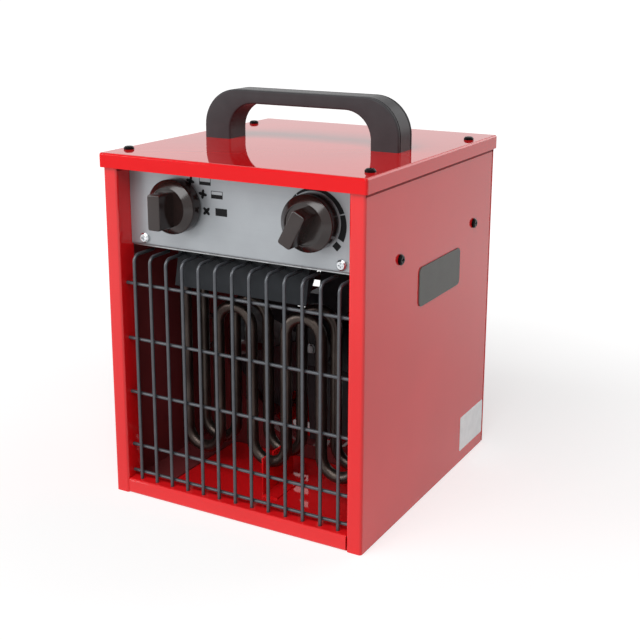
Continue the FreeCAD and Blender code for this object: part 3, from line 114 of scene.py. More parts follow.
class HeaterSizes(bpy.types.PropertyGroup):
    """Sizes of the pieces that are shaped here."""

    knob_gap: length_property("Knob gap", 0.8, "Between the control panel and the knobs' skirts")
    knob_skirt: length_property("Knob skirt", 9.6, "From the panel to the straight skirt's end")
    knob_ring: length_property("Knob ring", 13.8, "From the panel to the flat ring at the front")
    knob_front_radius: length_property("Ring radius", 13.8, "Outer radius of that ring")
    knob_recess_radius: length_property("Recess radius", 13.3, "Radius of the recess in the front")
    knob_floor: length_property("Recess floor", 13.0, "From the panel to the floor of the recess")
    knob_wall: length_property("Skirt wall", 2.0, "Thickness of the skirt")
    knob_ceiling: length_property("Knob ceiling", 9.6, "From the panel to the roof of the hollow")
    knob_hub: length_property("Hub radius", 6.0, "Radius of the hub on the shaft")
    knob_bore: length_property("Bore radius", 3.05, "Radius of the bore for the shaft")
    knob_bore_depth: length_property("Bore depth", 13.6, "From the panel to the end of the bore")
    knob_boss: length_property("Boss radius", 4.2, "Radius of the boss that closes the bore")
    knob_boss_end: length_property("Boss end", 15.0, "From the panel to the end of that boss")
    knob_hub_lift: length_property("Hub lift", 2.8, "From the panel to the hub")
    grip_width: length_property("Grip width", 9.6, "Width of the bar on the knob")
    grip_length: length_property("Grip length", 23.9, "Length of the bar on the knob")
    grip_drop: length_property("Grip drop", 0.8, "From the knob's axis to the middle of its bar")
    grip_corner: length_property("Grip corner", 1.5, "Rounding of the bar's corners")
    grip_edge: length_property("Grip edge", 0.8, "Rounding of the bar's front edge")
    knob_edge: length_property("Knob edge", 0.6, "Rounding of the skirt")
    handle_leg: length_property("Handle leg", 21.5, "Width of each leg of the handle")
    handle_bar: length_property("Handle bar", 9.8, "Thickness of the handle's bar")
    handle_bend: length_property("Outer bend", 27.0, "Outer radius of the handle's bends")
    handle_inner_bend: length_property("Inner bend", 20.0, "Inner radius of the handle's bends")
    handle_edge: length_property("Handle edge", 1.4, "Rounding along the handle")
    groove_place: length_property("Groove place", 2.2, "From the handle's faces to its grooves")
    groove_width: length_property("Groove width", 1.5, "Width of the handle's grooves")
    groove_depth: length_property("Groove depth", 0.9, "Depth of the handle's grooves")
    groove_slant: length_property("Groove slant", 0.1, "How far each groove narrows to its floor")
    print_film: length_property("Print thickness", 0.05, "Thickness of the ink on the panel")
    icon_box_width: length_property("Heat sign width", 9.2, "Width of the heat level signs")
    icon_box_height: length_property("Heat sign height", 5.1, "Height of the heat level signs")
    icon_line: length_property("Heat sign line", 0.4, "Line width of the heat level signs")
    icon_blade: length_property("Fan sign blade", 3.5, "Length of a blade of the fan signs")
    scale_inner: length_property("Scale inner radius", 19.4, "Inner radius of the dial's scale")
    scale_thin: length_property("Scale start radius", 20.0, "Outer radius at the cold end")
    scale_thick: length_property("Scale end radius", 24.1, "Outer radius at the hot end")
    end_mark: length_property("End mark", 4.6, "Width of the mark at the scale's hot end")
    end_mark_radius: length_property("End mark radius", 22.0, "From the knob's axis to that mark")
    label_film: length_property("Label thickness", 0.15, "Thickness of the foil label")
    label_corner: length_property("Label corner", 1.5, "Rounding of the foil label's corners")
    coil_turn: length_property("Winding pitch", 1.2, "Spacing of turns, coarser than real wire")
    coil_corner: length_property("Winding corner", 3.5, "Rounding of the winding's corners")
    coil_ridge: length_property("Winding ridge", 0.25, "Height of a turn of the winding")
    bobbin_flange: length_property("Bobbin flange", 1.5, "Thickness of the bobbin's end plates")


class HeaterColours(bpy.types.PropertyGroup):
    """Colours of the finishes."""

    enamel: colour_property("Enamel", "#E2191E", "Gloss coat of the casing")
    enamel_deep: colour_property("Enamel, deep", "#DC161B", "The same coat where it lies thicker")
    # The inside colour is the thin coat and painted shade: it is darkened to stand in for the shade
    # inside the box.
    enamel_inside_shaded: colour_property("Enamel, inside", "#743133", "The thin coat inside the casing")
    panel: colour_property("Panel", "#999DA1", "Brushed face of the control panel")
    moulding: colour_property("Moulding", "#3E3D3F", "Handle, fittings and switches")
    phenolic: colour_property("Phenolic", "#1C100E", "Knobs")
    ink: colour_property("Ink", "#0B0B0D", "Print on the control panel")
    wire: colour_property("Grille wire", "#4D5055", "Coat of the grille")
    sheath: colour_property("Element sheath", "#534B46", "Heated steel tube")
    sheath_hot: colour_property("Sheath, hot", "#352B28", "The same tube where it ran hottest")
    deflector: colour_property("Deflector", "#27292C", "Satin coat under the panel")
    plate: colour_property("Side plate", "#575754", "Face of the plain plate on the side")
    foil: colour_property("Foil", "#DADCDD", "Blank label")
    zinc: colour_property("Zinc", "#A9ABAD", "Plated inner steelwork")
    bright: colour_property("Bright screws", "#D3D6D9", "Nickel plated screws of the panel")
    black_screw: colour_property("Black screws", "#1B1A1B", "Blackened screws of the casing")
    ceramic: colour_property("Ceramic", "#E6DFD0", "Bushes and terminal strip")
    core: colour_property("Core", "#5A5B5E", "Laminated motor core")
    copper: colour_property("Copper", "#A4572A", "Enamelled motor winding")
    bronze: colour_property("Bronze", "#A87F3E", "Sintered bearing bushes")
    fan: colour_property("Fan", "#252528", "Moulded fan wheel")
    floor: colour_property("Floor", "#F4F4F4", "Studio floor")


class HeaterStage(bpy.types.PropertyGroup):
    """Camera and light."""

    azimuth: angle_property("Azimuth", 29.03, "Camera's turn to the right of the front")
    elevation: angle_property("Elevation", 14.03, "Camera's angle above the horizon")
    roll: angle_property("Roll", 0.17, "Camera's turn about its own axis")
    place: bpy.props.FloatVectorProperty(
        name="Camera place", description="Where the camera stands",
        default=(0.3962, -0.6970, 0.3649), subtype="XYZ", unit="LENGTH", size=3)
    lens: number_property("Lens", 63.25, "Focal length in millimetres on a 36 mm sensor", min=1.0)
    rise: number_property("Lens shift", -0.1, "Upward shift of the lens, as a share of the frame")
    key_power: number_property(
        "Key light", 1.2, "Strength of the soft light at the front left", min=0.0)
    fill_power: number_property(
        "Fill light", 0.75, "Strength of the soft light at the back right", min=0.0)
    box_power: number_property(
        "Soft box", 37.0, "Power of the soft box above the camera", min=0.0, unit="POWER")
    ambient: number_property(
        "Ambient light", 0.08, "Brightness of the light from all round", min=0.0)


def sizes():
    """The sizes as a user has set them."""
    return bpy.context.scene.heater_sizes


def colours():
    """The colours as a user has set them."""
    return bpy.context.scene.heater_colours


# Materials

# Nearly all values of a noise texture lie in this span.
NOISE_SPAN = {"From Min": 0.3, "From Max": 0.7}
BUMP_STRENGTH = 0.5
# Radians that a wave texture runs through in one unit of its scale
WAVE_RADIANS = 20

# Where the coat of the sheets changes, and where shade is painted on them, in millimetres
COAT_INSIDE = {"X": (-99.5, 99.5), "Y": (-91.6, 107.0), "Z": (0.6, 246.5)}
SEAM_LEVEL, SEAM_HALF_HEIGHT, SEAM_FRONT = 236.8, 1.1, -106.5
SKIRT_FRONT = -108.5
# How deep the painted shadow in the seam is, and the share of the clear top where it is full and
# thin
SEAM_SHADE = 0.4
FULL_TOP, THIN_TOP = 1.0, 0.25


def add_node(tree, kind, sockets=None, **settings):
    """Adds a node with its settings, its socket values and its links."""
    node = tree.nodes.new(kind)
    for name, value in settings.items():
        setattr(node, name, value)
    for socket, value in (sockets or {}).items():
        if isinstance(value, bpy.types.NodeSocket):
            tree.links.new(value, node.inputs[socket])
        else:
            node.inputs[socket].default_value = value
    return node


def rgba(colour, factor=1.0):
    """A colour with full opacity, made paler or deeper by a factor."""
    return (*(min(1.0, part * factor) for part in colour), 1.0)


def per_metre(millimetres):
    """The scale of a pattern whose features are this far apart."""
    return 1.0 / (millimetres * MM)


def two_tone(name, first, second, patch, grain, relief, roughness, stretch=(1, 1, 1), **gloss):
    """Builds a surface whose tone drifts in patches and whose grain sets its shine and relief.

    Patches, grain and relief have real sizes in millimetres; stretch draws the grain out.
    """
    material = bpy.data.materials.new(name)
    material.use_nodes = True
    tree = material.node_tree
    tree.nodes.clear()
    place = add_node(tree, "ShaderNodeTexCoord", name="place").outputs["Object"]
    drift = add_node(tree, "ShaderNodeTexNoise", {"Vector": place, "Scale": per_metre(patch)})
    share = add_node(tree, "ShaderNodeMapRange", {"Value": drift.outputs["Fac"], **NOISE_SPAN})
    tones = add_node(tree, "ShaderNodeMix", {0: share.outputs["Result"], 6: first, 7: second},
                     name="tones", data_type="RGBA")
    drawn = add_node(tree, "ShaderNodeMapping", {"Vector": place, "Scale": stretch})
    grains = add_node(tree, "ShaderNodeTexNoise", {
        "Vector": drawn.outputs["Vector"], "Scale": per_metre(grain)})
    shine = add_node(tree, "ShaderNodeMapRange", {
        "Value": grains.outputs["Fac"], **NOISE_SPAN,
        "To Min": roughness[0], "To Max": roughness[1]})
    bump = add_node(tree, "ShaderNodeBump", {
        "Height": grains.outputs["Fac"], "Distance": relief * MM, "Strength": BUMP_STRENGTH},
        name="relief")
    surface = add_node(tree, "ShaderNodeBsdfPrincipled", {
        "Base Color": tones.outputs[2], "Roughness": shine.outputs["Result"],
        "Normal": bump.outputs["Normal"]}, name="surface")
    for socket, value in gloss.items():
        surface.inputs[socket.replace("_", " ")].default_value = value
    add_node(tree, "ShaderNodeOutputMaterial", {"Surface": surface.outputs["BSDF"]})
    return material


def powder_coat(name):
    """Gloss red polyester powder coat, baked on sheet steel."""
    # It flows out nearly flat: a faint orange peel 3 mm across, and a clear top that mirrors at
    # a slant.
    material = two_tone(
        name, rgba(colours().enamel), rgba(colours().enamel_deep), patch=60.0, grain=3.0,
        relief=0.0014, roughness=(0.34, 0.42), Specular_IOR_Level=0.0, Coat_Weight=FULL_TOP,
        Coat_Roughness=0.03, Coat_IOR=1.48)
    tree = material.node_tree
    tree.links.new(tree.nodes["relief"].outputs["Normal"],
                   tree.nodes["surface"].inputs["Coat Normal"])
    return material


def polyester_powder_coat():
    """The full coat, on pieces that were sprayed on all sides."""
    return powder_coat("polyester_powder_coat")


def shaded_thin_powder_coat():
    """The same coat on the sheets of the box, full outside and thin inside, with painted shade
    inside and under the lid's skirt.
    """
    # Little powder reaches the inside of the box, so there the coat is thin and dull, and its dark
    # colour is also painted shade for the inside of the box. The lid's skirt keeps light off a fine
    # line of the sides and the back, which is painted as a deep red shadow with a thinner clear
    # top. The front of the skirt is painted with less shine: its clear top is thinner, so it
    # mirrors less than the posts and shows a fuller red.
    material = powder_coat("shaded_thin_powder_coat")
    tree = material.node_tree
    surface = tree.nodes["surface"]
    place = add_node(tree, "ShaderNodeSeparateXYZ", {
        "Vector": tree.nodes["place"].outputs["Object"]}).outputs
    inside = 1.0
    for axis, (low, high) in COAT_INSIDE.items():
        within = add_node(tree, "ShaderNodeMath", {
            0: place[axis], 1: (low + high) / 2 * MM, 2: (high - low) / 2 * MM},
            operation="COMPARE")
        inside = add_node(tree, "ShaderNodeMath", {0: inside, 1: within.outputs[0]},
                          operation="MULTIPLY").outputs[0]
    # Painted shadow: a fine deep red line on the sides and back under the lid's skirt, with a
    # thinner clear top.
    level = add_node(tree, "ShaderNodeMath", {
        0: place["Z"], 1: SEAM_LEVEL * MM, 2: SEAM_HALF_HEIGHT * MM}, operation="COMPARE")
    behind = add_node(tree, "ShaderNodeMath", {0: place["Y"], 1: SEAM_FRONT * MM},
                      operation="GREATER_THAN")
    seam_shadow = add_node(tree, "ShaderNodeMath", {0: level.outputs[0], 1: behind.outputs[0]},
                    operation="MULTIPLY")
    outside = add_node(tree, "ShaderNodeMix", {
        0: seam_shadow.outputs[0], 6: tree.nodes["tones"].outputs[2],
        7: rgba(colours().enamel_deep, SEAM_SHADE)}, data_type="RGBA")
    # Thin coat and painted shade: inside the box the colour turns to the darker inside red.
    paint = add_node(tree, "ShaderNodeMix", {
        0: inside, 6: outside.outputs[2], 7: rgba(colours().enamel_inside_shaded)}, data_type="RGBA")
    # Painted shade: the front of the lid's skirt gets a thinner clear top, so it mirrors less than
    # the posts.
    skirt = add_node(tree, "ShaderNodeMath", {0: place["Y"], 1: SKIRT_FRONT * MM},
                     operation="LESS_THAN")
    dull = inside
    for mask in (seam_shadow, skirt):
        dull = add_node(tree, "ShaderNodeMath", {0: dull, 1: mask.outputs[0]},
                        operation="MAXIMUM").outputs[0]
    top = add_node(tree, "ShaderNodeMapRange", {
        "Value": dull, "To Min": FULL_TOP, "To Max": THIN_TOP})
    tree.links.new(paint.outputs[2], surface.inputs["Base Color"])
    tree.links.new(top.outputs["Result"], surface.inputs["Coat Weight"])
    return material


def brushed_aluminium():
    """Aluminium sheet brushed along its length and lacquered."""
    # Soft grey with fine level lines. Real scratches are 0.1 mm apart; they are drawn 0.5 mm
    # apart so that they show.
    tone = colours().panel
    return two_tone("brushed_aluminium", rgba(tone), rgba(tone, 0.93), patch=18.0, grain=0.5,
                    relief=0.005, roughness=(0.36, 0.5), stretch=(0.012, 1, 1), Metallic=0.5)


def moulded_nylon():
    """Glass filled nylon, moulded in a spark eroded tool."""
    # An even fine grain that takes nearly all the shine away, with slightly paler flow marks.
    tone = colours().moulding
    return two_tone("moulded_nylon", rgba(tone), rgba(tone, 1.15), patch=14.0, grain=0.45,
                    relief=0.006, roughness=(0.28, 0.4), Specular_IOR_Level=0.08)


def moulded_phenolic():
    """Phenolic resin with wood flour, pressed in a polished tool."""
    # Dark brown, nearly black, with the soft sheen of a polished tool and faint flow marks.
    tone = colours().phenolic
    return two_tone("moulded_phenolic", rgba(tone), rgba(tone, 1.5), patch=9.0, grain=0.6,
                    relief=0.004, roughness=(0.13, 0.22), IOR=1.5)


def fan_nylon():
    """Nylon of the fan, moulded in a polished tool and dulled by dust."""
    # Nearly matt, with cloudy paler patches.
    tone = colours().fan
    return two_tone("fan_nylon", rgba(tone), rgba(tone, 1.5), patch=14.0, grain=0.8,
                    relief=0.006, roughness=(0.42, 0.56), IOR=1.42)


def crystal_metal(name, tone, spangle, roughness):
    """Bare metal with crystals of a size in millimetres."""
    # The crystals show as patches of a slightly different tone.
    material = two_tone(name, rgba(tone), rgba(tone, 0.72), patch=spangle, grain=spangle * 0.3,
                        relief=0.003, roughness=roughness, Metallic=1.0)
    tree = material.node_tree
    crystal = add_node(tree, "ShaderNodeTexVoronoi", {
        "Vector": tree.nodes["place"].outputs["Object"], "Scale": per_metre(spangle)})
    grey = add_node(tree, "ShaderNodeSeparateColor", {"Color": crystal.outputs["Color"]})
    tree.links.new(grey.outputs["Red"], tree.nodes["tones"].inputs[0])
    return material


def galvanised_steel():
    """Sheet and bar dipped in molten zinc."""
    # Dull silver with spangles 4 mm across.
    return crystal_metal("galvanised_steel", colours().zinc, 4.0, (0.3, 0.46))


def nickel_plate():
    """Small screws plated with bright nickel."""
    # A bright, nearly even skin.
    return crystal_metal("nickel_plate", colours().bright, 1.5, (0.18, 0.34))


def black_oxide():
    """Screws blackened in a hot salt bath."""
    # Nearly black, with an oily sheen.
    return crystal_metal("black_oxide", colours().black_screw, 1.5, (0.28, 0.44))


def sintered_bronze():
    """Bronze powder pressed and sintered, its pores full of oil."""
    # Brownish gold, dull and finely speckled.
    return crystal_metal("sintered_bronze", colours().bronze, 0.8, (0.36, 0.52))


def stove_enamel():
    """Black satin enamel, stoved on steel."""
    # A fine leathery skin, 0.7 mm across, and no mirror image.
    tone = colours().deflector
    return two_tone("stove_enamel", rgba(tone), rgba(tone, 1.3), patch=12.0, grain=0.7,
                    relief=0.004, roughness=(0.3, 0.42), Specular_IOR_Level=0.06)


def plate_enamel():
    """Grey matt enamel, screened on thin steel."""
    # Flat and even, with a grain just coarse enough to kill the mirror image.
    tone = colours().plate
    return two_tone("plate_enamel", rgba(tone), rgba(tone, 1.1), patch=12.0, grain=0.7,
                    relief=0.004, roughness=(0.45, 0.58), IOR=1.36)


def heat_resisting_steel():
    """Heat resisting steel tube, drawn lengthwise and browned by use."""
    # Faint lines run up the tube, with darker patches where it ran hottest.
    return two_tone("heat_resisting_steel", rgba(colours().sheath), rgba(colours().sheath_hot),
                    patch=26.0, grain=0.8, relief=0.006, roughness=(0.26, 0.42),
                    stretch=(1, 1, 0.05), Metallic=0.85)


def coated_wire():
    """Drawn steel wire, welded and then dipped in a grey coat."""
    # The coat pools slightly, so the shine varies along the wire.
    tone = colours().wire
    return two_tone("coated_wire", rgba(tone), rgba(tone, 0.78), patch=6.0, grain=1.3,
                    relief=0.007, roughness=(0.28, 0.42), Metallic=0.35, IOR=1.55)


def steatite():
    """Steatite ceramic, pressed, fired and left unglazed."""
    # Chalky and close grained, with a few tan patches.
    tone = colours().ceramic
    return two_tone("steatite", rgba(tone), rgba(tone, 0.86), patch=4.0, grain=1.4,
                    relief=0.015, roughness=(0.5, 0.62))


def laminated_steel():
    """Electrical steel, stamped and stacked front to back."""
    # The sheets' edges show as fine dark and pale lines. Real sheets are 0.5 mm thick; they are
    # drawn 1 mm thick, a dark and a pale one in turn, so that they show.
    tone = colours().core
    pair = 2.0
    material = two_tone("laminated_steel", rgba(tone, 0.55), rgba(tone), patch=6.0, grain=2.0,
                        relief=0.08, roughness=(0.4, 0.56), Metallic=0.7)
    tree = material.node_tree
    stack = add_node(tree, "ShaderNodeTexWave", {
        "Vector": tree.nodes["place"].outputs["Object"],
        "Scale": per_metre(pair) * FULL_TURN / WAVE_RADIANS}, bands_direction="Y")
    tree.links.new(stack.outputs["Fac"], tree.nodes["tones"].inputs[0])
    tree.links.new(stack.outputs["Fac"], tree.nodes["relief"].inputs["Height"])
    return material


def enamelled_copper():
    """Copper wire under a clear varnish."""
    # Warm and glossy, darker where the varnish lies thick.
    tone = colours().copper
    return two_tone("enamelled_copper", rgba(tone), rgba(tone, 0.6), patch=5.0, grain=2.0,
                    relief=0.004, roughness=(0.24, 0.38), Metallic=0.8, Coat_Weight=0.5,
                    Coat_Roughness=0.12)


def screen_print_ink():
    """Ink pressed through a fine screen."""
    # A dense matt film with a faint grain.
    tone = colours().ink
    return two_tone("screen_print_ink", rgba(tone), rgba(tone, 1.4), patch=3.0, grain=0.5,
                    relief=0.002, roughness=(0.5, 0.62), Specular_IOR_Level=0.15)


def metallised_foil():
    """Metallised polyester foil, pressed on by hand."""
    # Silvery and nearly flat, with soft ripples.
    tone = colours().foil
    return two_tone("metallised_foil", rgba(tone), rgba(tone, 0.92), patch=7.0, grain=7.0,
                    relief=0.03, roughness=(0.3, 0.44), Metallic=0.55)


FINISHES = {maker.__name__: maker for maker in (
    polyester_powder_coat, shaded_thin_powder_coat, brushed_aluminium, moulded_nylon, moulded_phenolic,
    fan_nylon, galvanised_steel, nickel_plate, black_oxide, sintered_bronze, stove_enamel,
    plate_enamel, heat_resisting_steel, coated_wire, steatite, laminated_steel,
    enamelled_copper, screen_print_ink, metallised_foil)}


def finish(name):
    """A finish by name, made once."""
    return bpy.data.materials.get(name) or FINISHES[name]()


def dress(finish_name, *node_names):
    """Gives solids a finish."""
    for node_name in node_names:
        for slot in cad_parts[node_name].material_slots:
            slot.material = finish(finish_name)


# Shaping

# The printed signs: where the fan and the heat box sit, in millimetres to the right of the
# selector's axis and above it, the filled share of the box, and the fan's turn in degrees
SIGNS = (
    ((10.0, 17.2), (21.7, 17.9), 0.45, 15),
    ((19.8, 9.2), (31.0, 9.6), 0.52, 10),
    ((22.5, -2.1), (34.3, -1.8), 1, 45),
)
# Width of the fan sign's blades and the place of their middles, as shares of their length
BLADE_WIDTH, BLADE_MIDDLE = 0.62, 0.46
# The thermostat's scale: bearings in degrees, clockwise from the top, and how late it widens
SCALE_BEGIN, SCALE_END, END_MARK_BEARING = -135, 118, 131
SCALE_GAPS, SCALE_HALF_GAP = (-38.3, 73.0), 1.1
SCALE_CURVE = 1.6
# The foil's lower front and upper rear corners on the right side: Y and Z in millimetres
LABEL_LOW, LABEL_HIGH = (58.5, 9.0), (104.5, 36.5)


def make_piece(name, shape, finish_name, body, replaced=(), smooth_to=32.0):
    """Turns a shape into a piece that rides on a body, smooth over edges up to an angle."""
    bmesh.ops.remove_doubles(shape, verts=shape.verts, dist=TOUCH)
    bmesh.ops.recalc_face_normals(shape, faces=shape.faces)
    mesh = bpy.data.meshes.new(name)
    shape.to_mesh(mesh)
    shape.free()
    if not mesh.polygons:
        raise RuntimeError(f"{name} has no faces")
    mesh.materials.append(finish(finish_name))
    mesh.shade_smooth()
    mesh.set_sharp_from_angle(angle=math.radians(smooth_to))
    piece = bpy.data.objects.new(name, mesh)
    bpy.context.scene.collection.objects.link(piece)
    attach(piece, body)
    if replaced:
        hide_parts(*replaced)


def round_edges(shape, edges, radius, segments):
    """Rounds edges off."""
    bmesh.ops.bevel(shape, geom=edges, offset=radius, offset_type="OFFSET", affect="EDGES",
                    segments=segments, profile=0.5, material=-1, clamp_overlap=True)


def thicken(shape, faces, offset):
    """Turns flat faces into a film that stands off by an offset."""
    grown = bmesh.ops.extrude_face_region(shape, geom=faces)["geom"]
    verts = [item for item in grown if isinstance(item, bmesh.types.BMVert)]
    bmesh.ops.translate(shape, vec=offset, verts=verts)


def rotate(shape, verts, angle, axis):
    """Turns points about an axis through the origin."""
    bmesh.ops.rotate(shape, cent=(0, 0, 0), matrix=Matrix.Rotation(angle, 3, axis), verts=verts)


def add_sheet(shape, low, high, axis):
    """A flat sheet between two corners, turned upright about an axis; gives its corners."""
    verts = bmesh.ops.create_grid(shape, x_segments=1, y_segments=1, size=0.5)["verts"]
    rotate(shape, verts, QUARTER_TURN, axis)
    bmesh.ops.scale(shape, vec=high - low, verts=verts)
    bmesh.ops.translate(shape, vec=(low + high) / 2, verts=verts)
    return verts


def lies_at(edge, axis, place):
    """Whether an edge lies at a place along an axis."""
    return all(abs(vert.co[axis] - place) < TOUCH for vert in edge.verts)


def runs_back(edge):
    """Whether an edge runs from front to back."""
    return abs(edge.verts[0].co.y - edge.verts[1].co.y) > TOUCH


def knob_shape(turn, centre):
    """A knob: a turned skirt with a broad cone and a shallow recess, and a bar to grip."""
    size = sizes()
    shape = bmesh.new()
    low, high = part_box("selector_knob")
    radius = (high.x - low.x) / 2
    reach = high.y + size.knob_gap - low.y
    profile = [
        (0, size.knob_boss_end),
        (size.knob_boss, size.knob_boss_end),
        (size.knob_boss, size.knob_floor),
        (size.knob_recess_radius, size.knob_floor),
        (size.knob_recess_radius, size.knob_ring),
        (size.knob_front_radius, size.knob_ring),
        (radius, size.knob_skirt),
        (radius, size.knob_gap),
        (radius - size.knob_wall, size.knob_gap),
        (radius - size.knob_wall, size.knob_ceiling),
        (size.knob_hub, size.knob_ceiling),
        (size.knob_hub, size.knob_hub_lift),
        (size.knob_bore, size.knob_hub_lift),
        (size.knob_bore, size.knob_bore_depth),
        (0, size.knob_bore_depth),
    ]
    points = [shape.verts.new((across, -along, 0)) for across, along in profile]
    edges = [shape.edges.new(pair) for pair in zip(points, points[1:])]
    bmesh.ops.spin(shape, geom=points + edges, cent=(0, 0, 0), axis=(0, 1, 0), dvec=(0, 0, 0),
                   angle=FULL_TURN, steps=KNOB_STEPS, use_merge=True)
    bmesh.ops.remove_doubles(shape, verts=shape.verts, dist=TOUCH)

    def on_skirt(vert):
        """Whether a point is on the outside of the skirt."""
        return abs(math.hypot(vert.co.x, vert.co.z) - radius) < SPUN_TOUCH

    for along in (size.knob_skirt, size.knob_gap):
        rim = [edge for edge in shape.edges
               if lies_at(edge, AXIS_Y, -along) and all(on_skirt(vert) for vert in edge.verts)]
        round_edges(shape, rim, size.knob_edge, EDGE_SEGMENTS)
    bar = bmesh.ops.create_cube(shape, size=1.0)["verts"]
    root = size.knob_floor - size.knob_edge
    bmesh.ops.scale(shape, vec=(size.grip_width, reach - root, size.grip_length), verts=bar)
    bmesh.ops.translate(shape, vec=(0, -(reach + root) / 2, -size.grip_drop), verts=bar)
    corners = [edge for edge in shape.edges if edge.verts[0] in bar and runs_back(edge)]
    round_edges(shape, corners, size.grip_corner, CORNER_SEGMENTS)
    tip = [edge for edge in shape.edges if lies_at(edge, AXIS_Y, -reach)]
    round_edges(shape, tip, size.grip_edge, EDGE_SEGMENTS)
    place = Matrix.Translation(centre) @ Matrix.Rotation(turn, 4, "Y")
    bmesh.ops.transform(shape, matrix=place, verts=shape.verts)
    return shape


def knob_centre(node_name):
    """Where a knob's axis meets the control panel."""
    low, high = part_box(node_name)
    return Vector(((low.x + high.x) / 2, high.y + sizes().knob_gap, (low.z + high.z) / 2))


def handle_shape():
    """The bow handle: two flat legs and a bar, rounded along all its edges."""
    size = sizes()
    low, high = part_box("handle")
    shape = bmesh.new()
    inner_left = low.x + size.handle_leg
    inner_right = high.x - size.handle_leg
    under = high.z - size.handle_bar
    corners = [
        (low.x, low.z), (low.x, high.z), (high.x, high.z), (high.x, low.z),
        (inner_right, low.z), (inner_right, under), (inner_left, under), (inner_left, low.z),
    ]
    face = shape.faces.new([shape.verts.new((x, low.y, z)) for x, z in corners])
    thicken(shape, [face], (0, high.y - low.y, 0))
    for height, bend, segments in (
        (high.z, size.handle_bend, BEND_SEGMENTS),
        (under, size.handle_inner_bend, INNER_BEND_SEGMENTS),
    ):
        across = [edge for edge in shape.edges
                  if lies_at(edge, AXIS_Z, height) and runs_back(edge)]
        round_edges(shape, across, bend, segments)
    near, far = size.groove_place, size.groove_place + size.groove_width
    for y in (low.y + near, low.y + far, high.y - far, high.y - near):
        bmesh.ops.bisect_plane(shape, geom=shape.verts[:] + shape.edges[:] + shape.faces[:],
                               plane_co=(0, y, 0), plane_no=(0, 1, 0))
    foot = Vector(((low.x + high.x) / 2, 0, low.z))
    shape.normal_update()

    def in_groove(face):
        """Whether a face is a strip of a groove on the handle's outer side."""
        middle = face.calc_center_median()
        margin = min(middle.y - low.y, high.y - middle.y)
        looks_down = face.normal.z <= -0.5
        looks_out = face.normal.dot(middle - foot) > 0
        return near < margin < far and looks_out and not looks_down

    strips = [face for face in shape.faces if in_groove(face)]
    bmesh.ops.inset_region(shape, faces=strips, thickness=size.groove_slant,
                           depth=-size.groove_depth, use_boundary=True, use_even_offset=True)
    rims = [edge for edge in shape.edges
            if (lies_at(edge, AXIS_Y, low.y) or lies_at(edge, AXIS_Y, high.y))
            and not lies_at(edge, AXIS_Z, low.z)]
    round_edges(shape, rims, size.handle_edge, CORNER_SEGMENTS)
    return shape


def add_fan_sign(shape, centre, turn, y):
    """A printed fan: four lens shaped blades round a point."""
    blade = sizes().icon_blade
    for quarter in range(4):
        verts = bmesh.ops.create_circle(
            shape, cap_ends=True, segments=BLADE_SEGMENTS, radius=blade / 2)["verts"]
        bmesh.ops.scale(shape, vec=(BLADE_WIDTH, 1, 1), verts=verts)
        rotate(shape, verts, QUARTER_TURN, "X")
        bmesh.ops.translate(shape, vec=(0, 0, blade * BLADE_MIDDLE), verts=verts)
        rotate(shape, verts, turn + quarter * QUARTER_TURN, "Y")
        bmesh.ops.translate(shape, vec=(centre[0], y, centre[1]), verts=verts)


def add_rectangle(shape, low, high, y):
    """A printed rectangle; gives its face."""
    corners = [Vector((x, y, z)) for x, z in (low, high)]
    return add_sheet(shape, *corners, "X")[0].link_faces[0]


def add_heat_sign(shape, centre, share, y):
    """A printed box, filled up to a share of its height."""
    size = sizes()
    low = (centre[0] - size.icon_box_width / 2, centre[1] - size.icon_box_height / 2)
    high = (centre[0] + size.icon_box_width / 2, centre[1] + size.icon_box_height / 2)
    if share == 1:
        add_rectangle(shape, low, high, y)
        return
    level = low[1] + size.icon_box_height * share - size.icon_line
    add_rectangle(shape, low, (high[0], level), y)
    box = add_rectangle(shape, (low[0], level), high, y)
    bmesh.ops.inset_region(shape, faces=[box], thickness=size.icon_line, use_boundary=True,
                           use_even_offset=True)
    bmesh.ops.delete(shape, geom=[box], context="FACES")


def add_arc(shape, centre, y, first, last, inner, outer):
    """A printed arc; its outer radius follows the bearing, clockwise from the top."""
    before = set(shape.verts)
    verts = [shape.verts.new((radius * math.sin(first), 0, radius * math.cos(first)))
             for radius in (inner, (inner + outer(first)) / 2)]
    edge = shape.edges.new(verts)
    rim = verts[1].co.length
    bmesh.ops.spin(shape, geom=verts + [edge], cent=(0, 0, 0), axis=(0, 1, 0), dvec=(0, 0, 0),
                   angle=last - first, steps=ARC_STEPS)
    swept = [vert for vert in shape.verts if vert not in before]
    for vert in swept:
        if abs(vert.co.length - rim) < TOUCH:
            vert.co *= outer(math.atan2(vert.co.x, vert.co.z)) / rim
    bmesh.ops.translate(shape, vec=(centre.x, y, centre.z), verts=swept)


def add_scale(shape, centre, y):
    """The thermostat's scale: a band that widens clockwise, with two gaps, and an end mark."""
    size = sizes()
    begin, end = math.radians(SCALE_BEGIN), math.radians(SCALE_END)
    half_gap = math.radians(SCALE_HALF_GAP)

    def widening(bearing):
        """The band's outer radius at a bearing."""
        share = max(0.0, (bearing - begin) / (end - begin))
        return size.scale_thin + (size.scale_thick - size.scale_thin) * share ** SCALE_CURVE

    gaps = [math.radians(gap) for gap in SCALE_GAPS]
    starts = [begin] + [gap + half_gap for gap in gaps]
    stops = [gap - half_gap for gap in gaps] + [end]
    for first, last in zip(starts, stops):
        add_arc(shape, centre, y, first, last, size.scale_inner, widening)
    bearing = math.radians(END_MARK_BEARING)
    spot = Vector((math.sin(bearing), 0, math.cos(bearing))) * size.end_mark_radius
    half = size.end_mark / 2
    mark = add_rectangle(shape, (-half, -half), (half, half), 0)
    rotate(shape, mark.verts, bearing, "Y")
    bmesh.ops.translate(shape, vec=(centre.x + spot.x, y, centre.z + spot.z), verts=mark.verts)


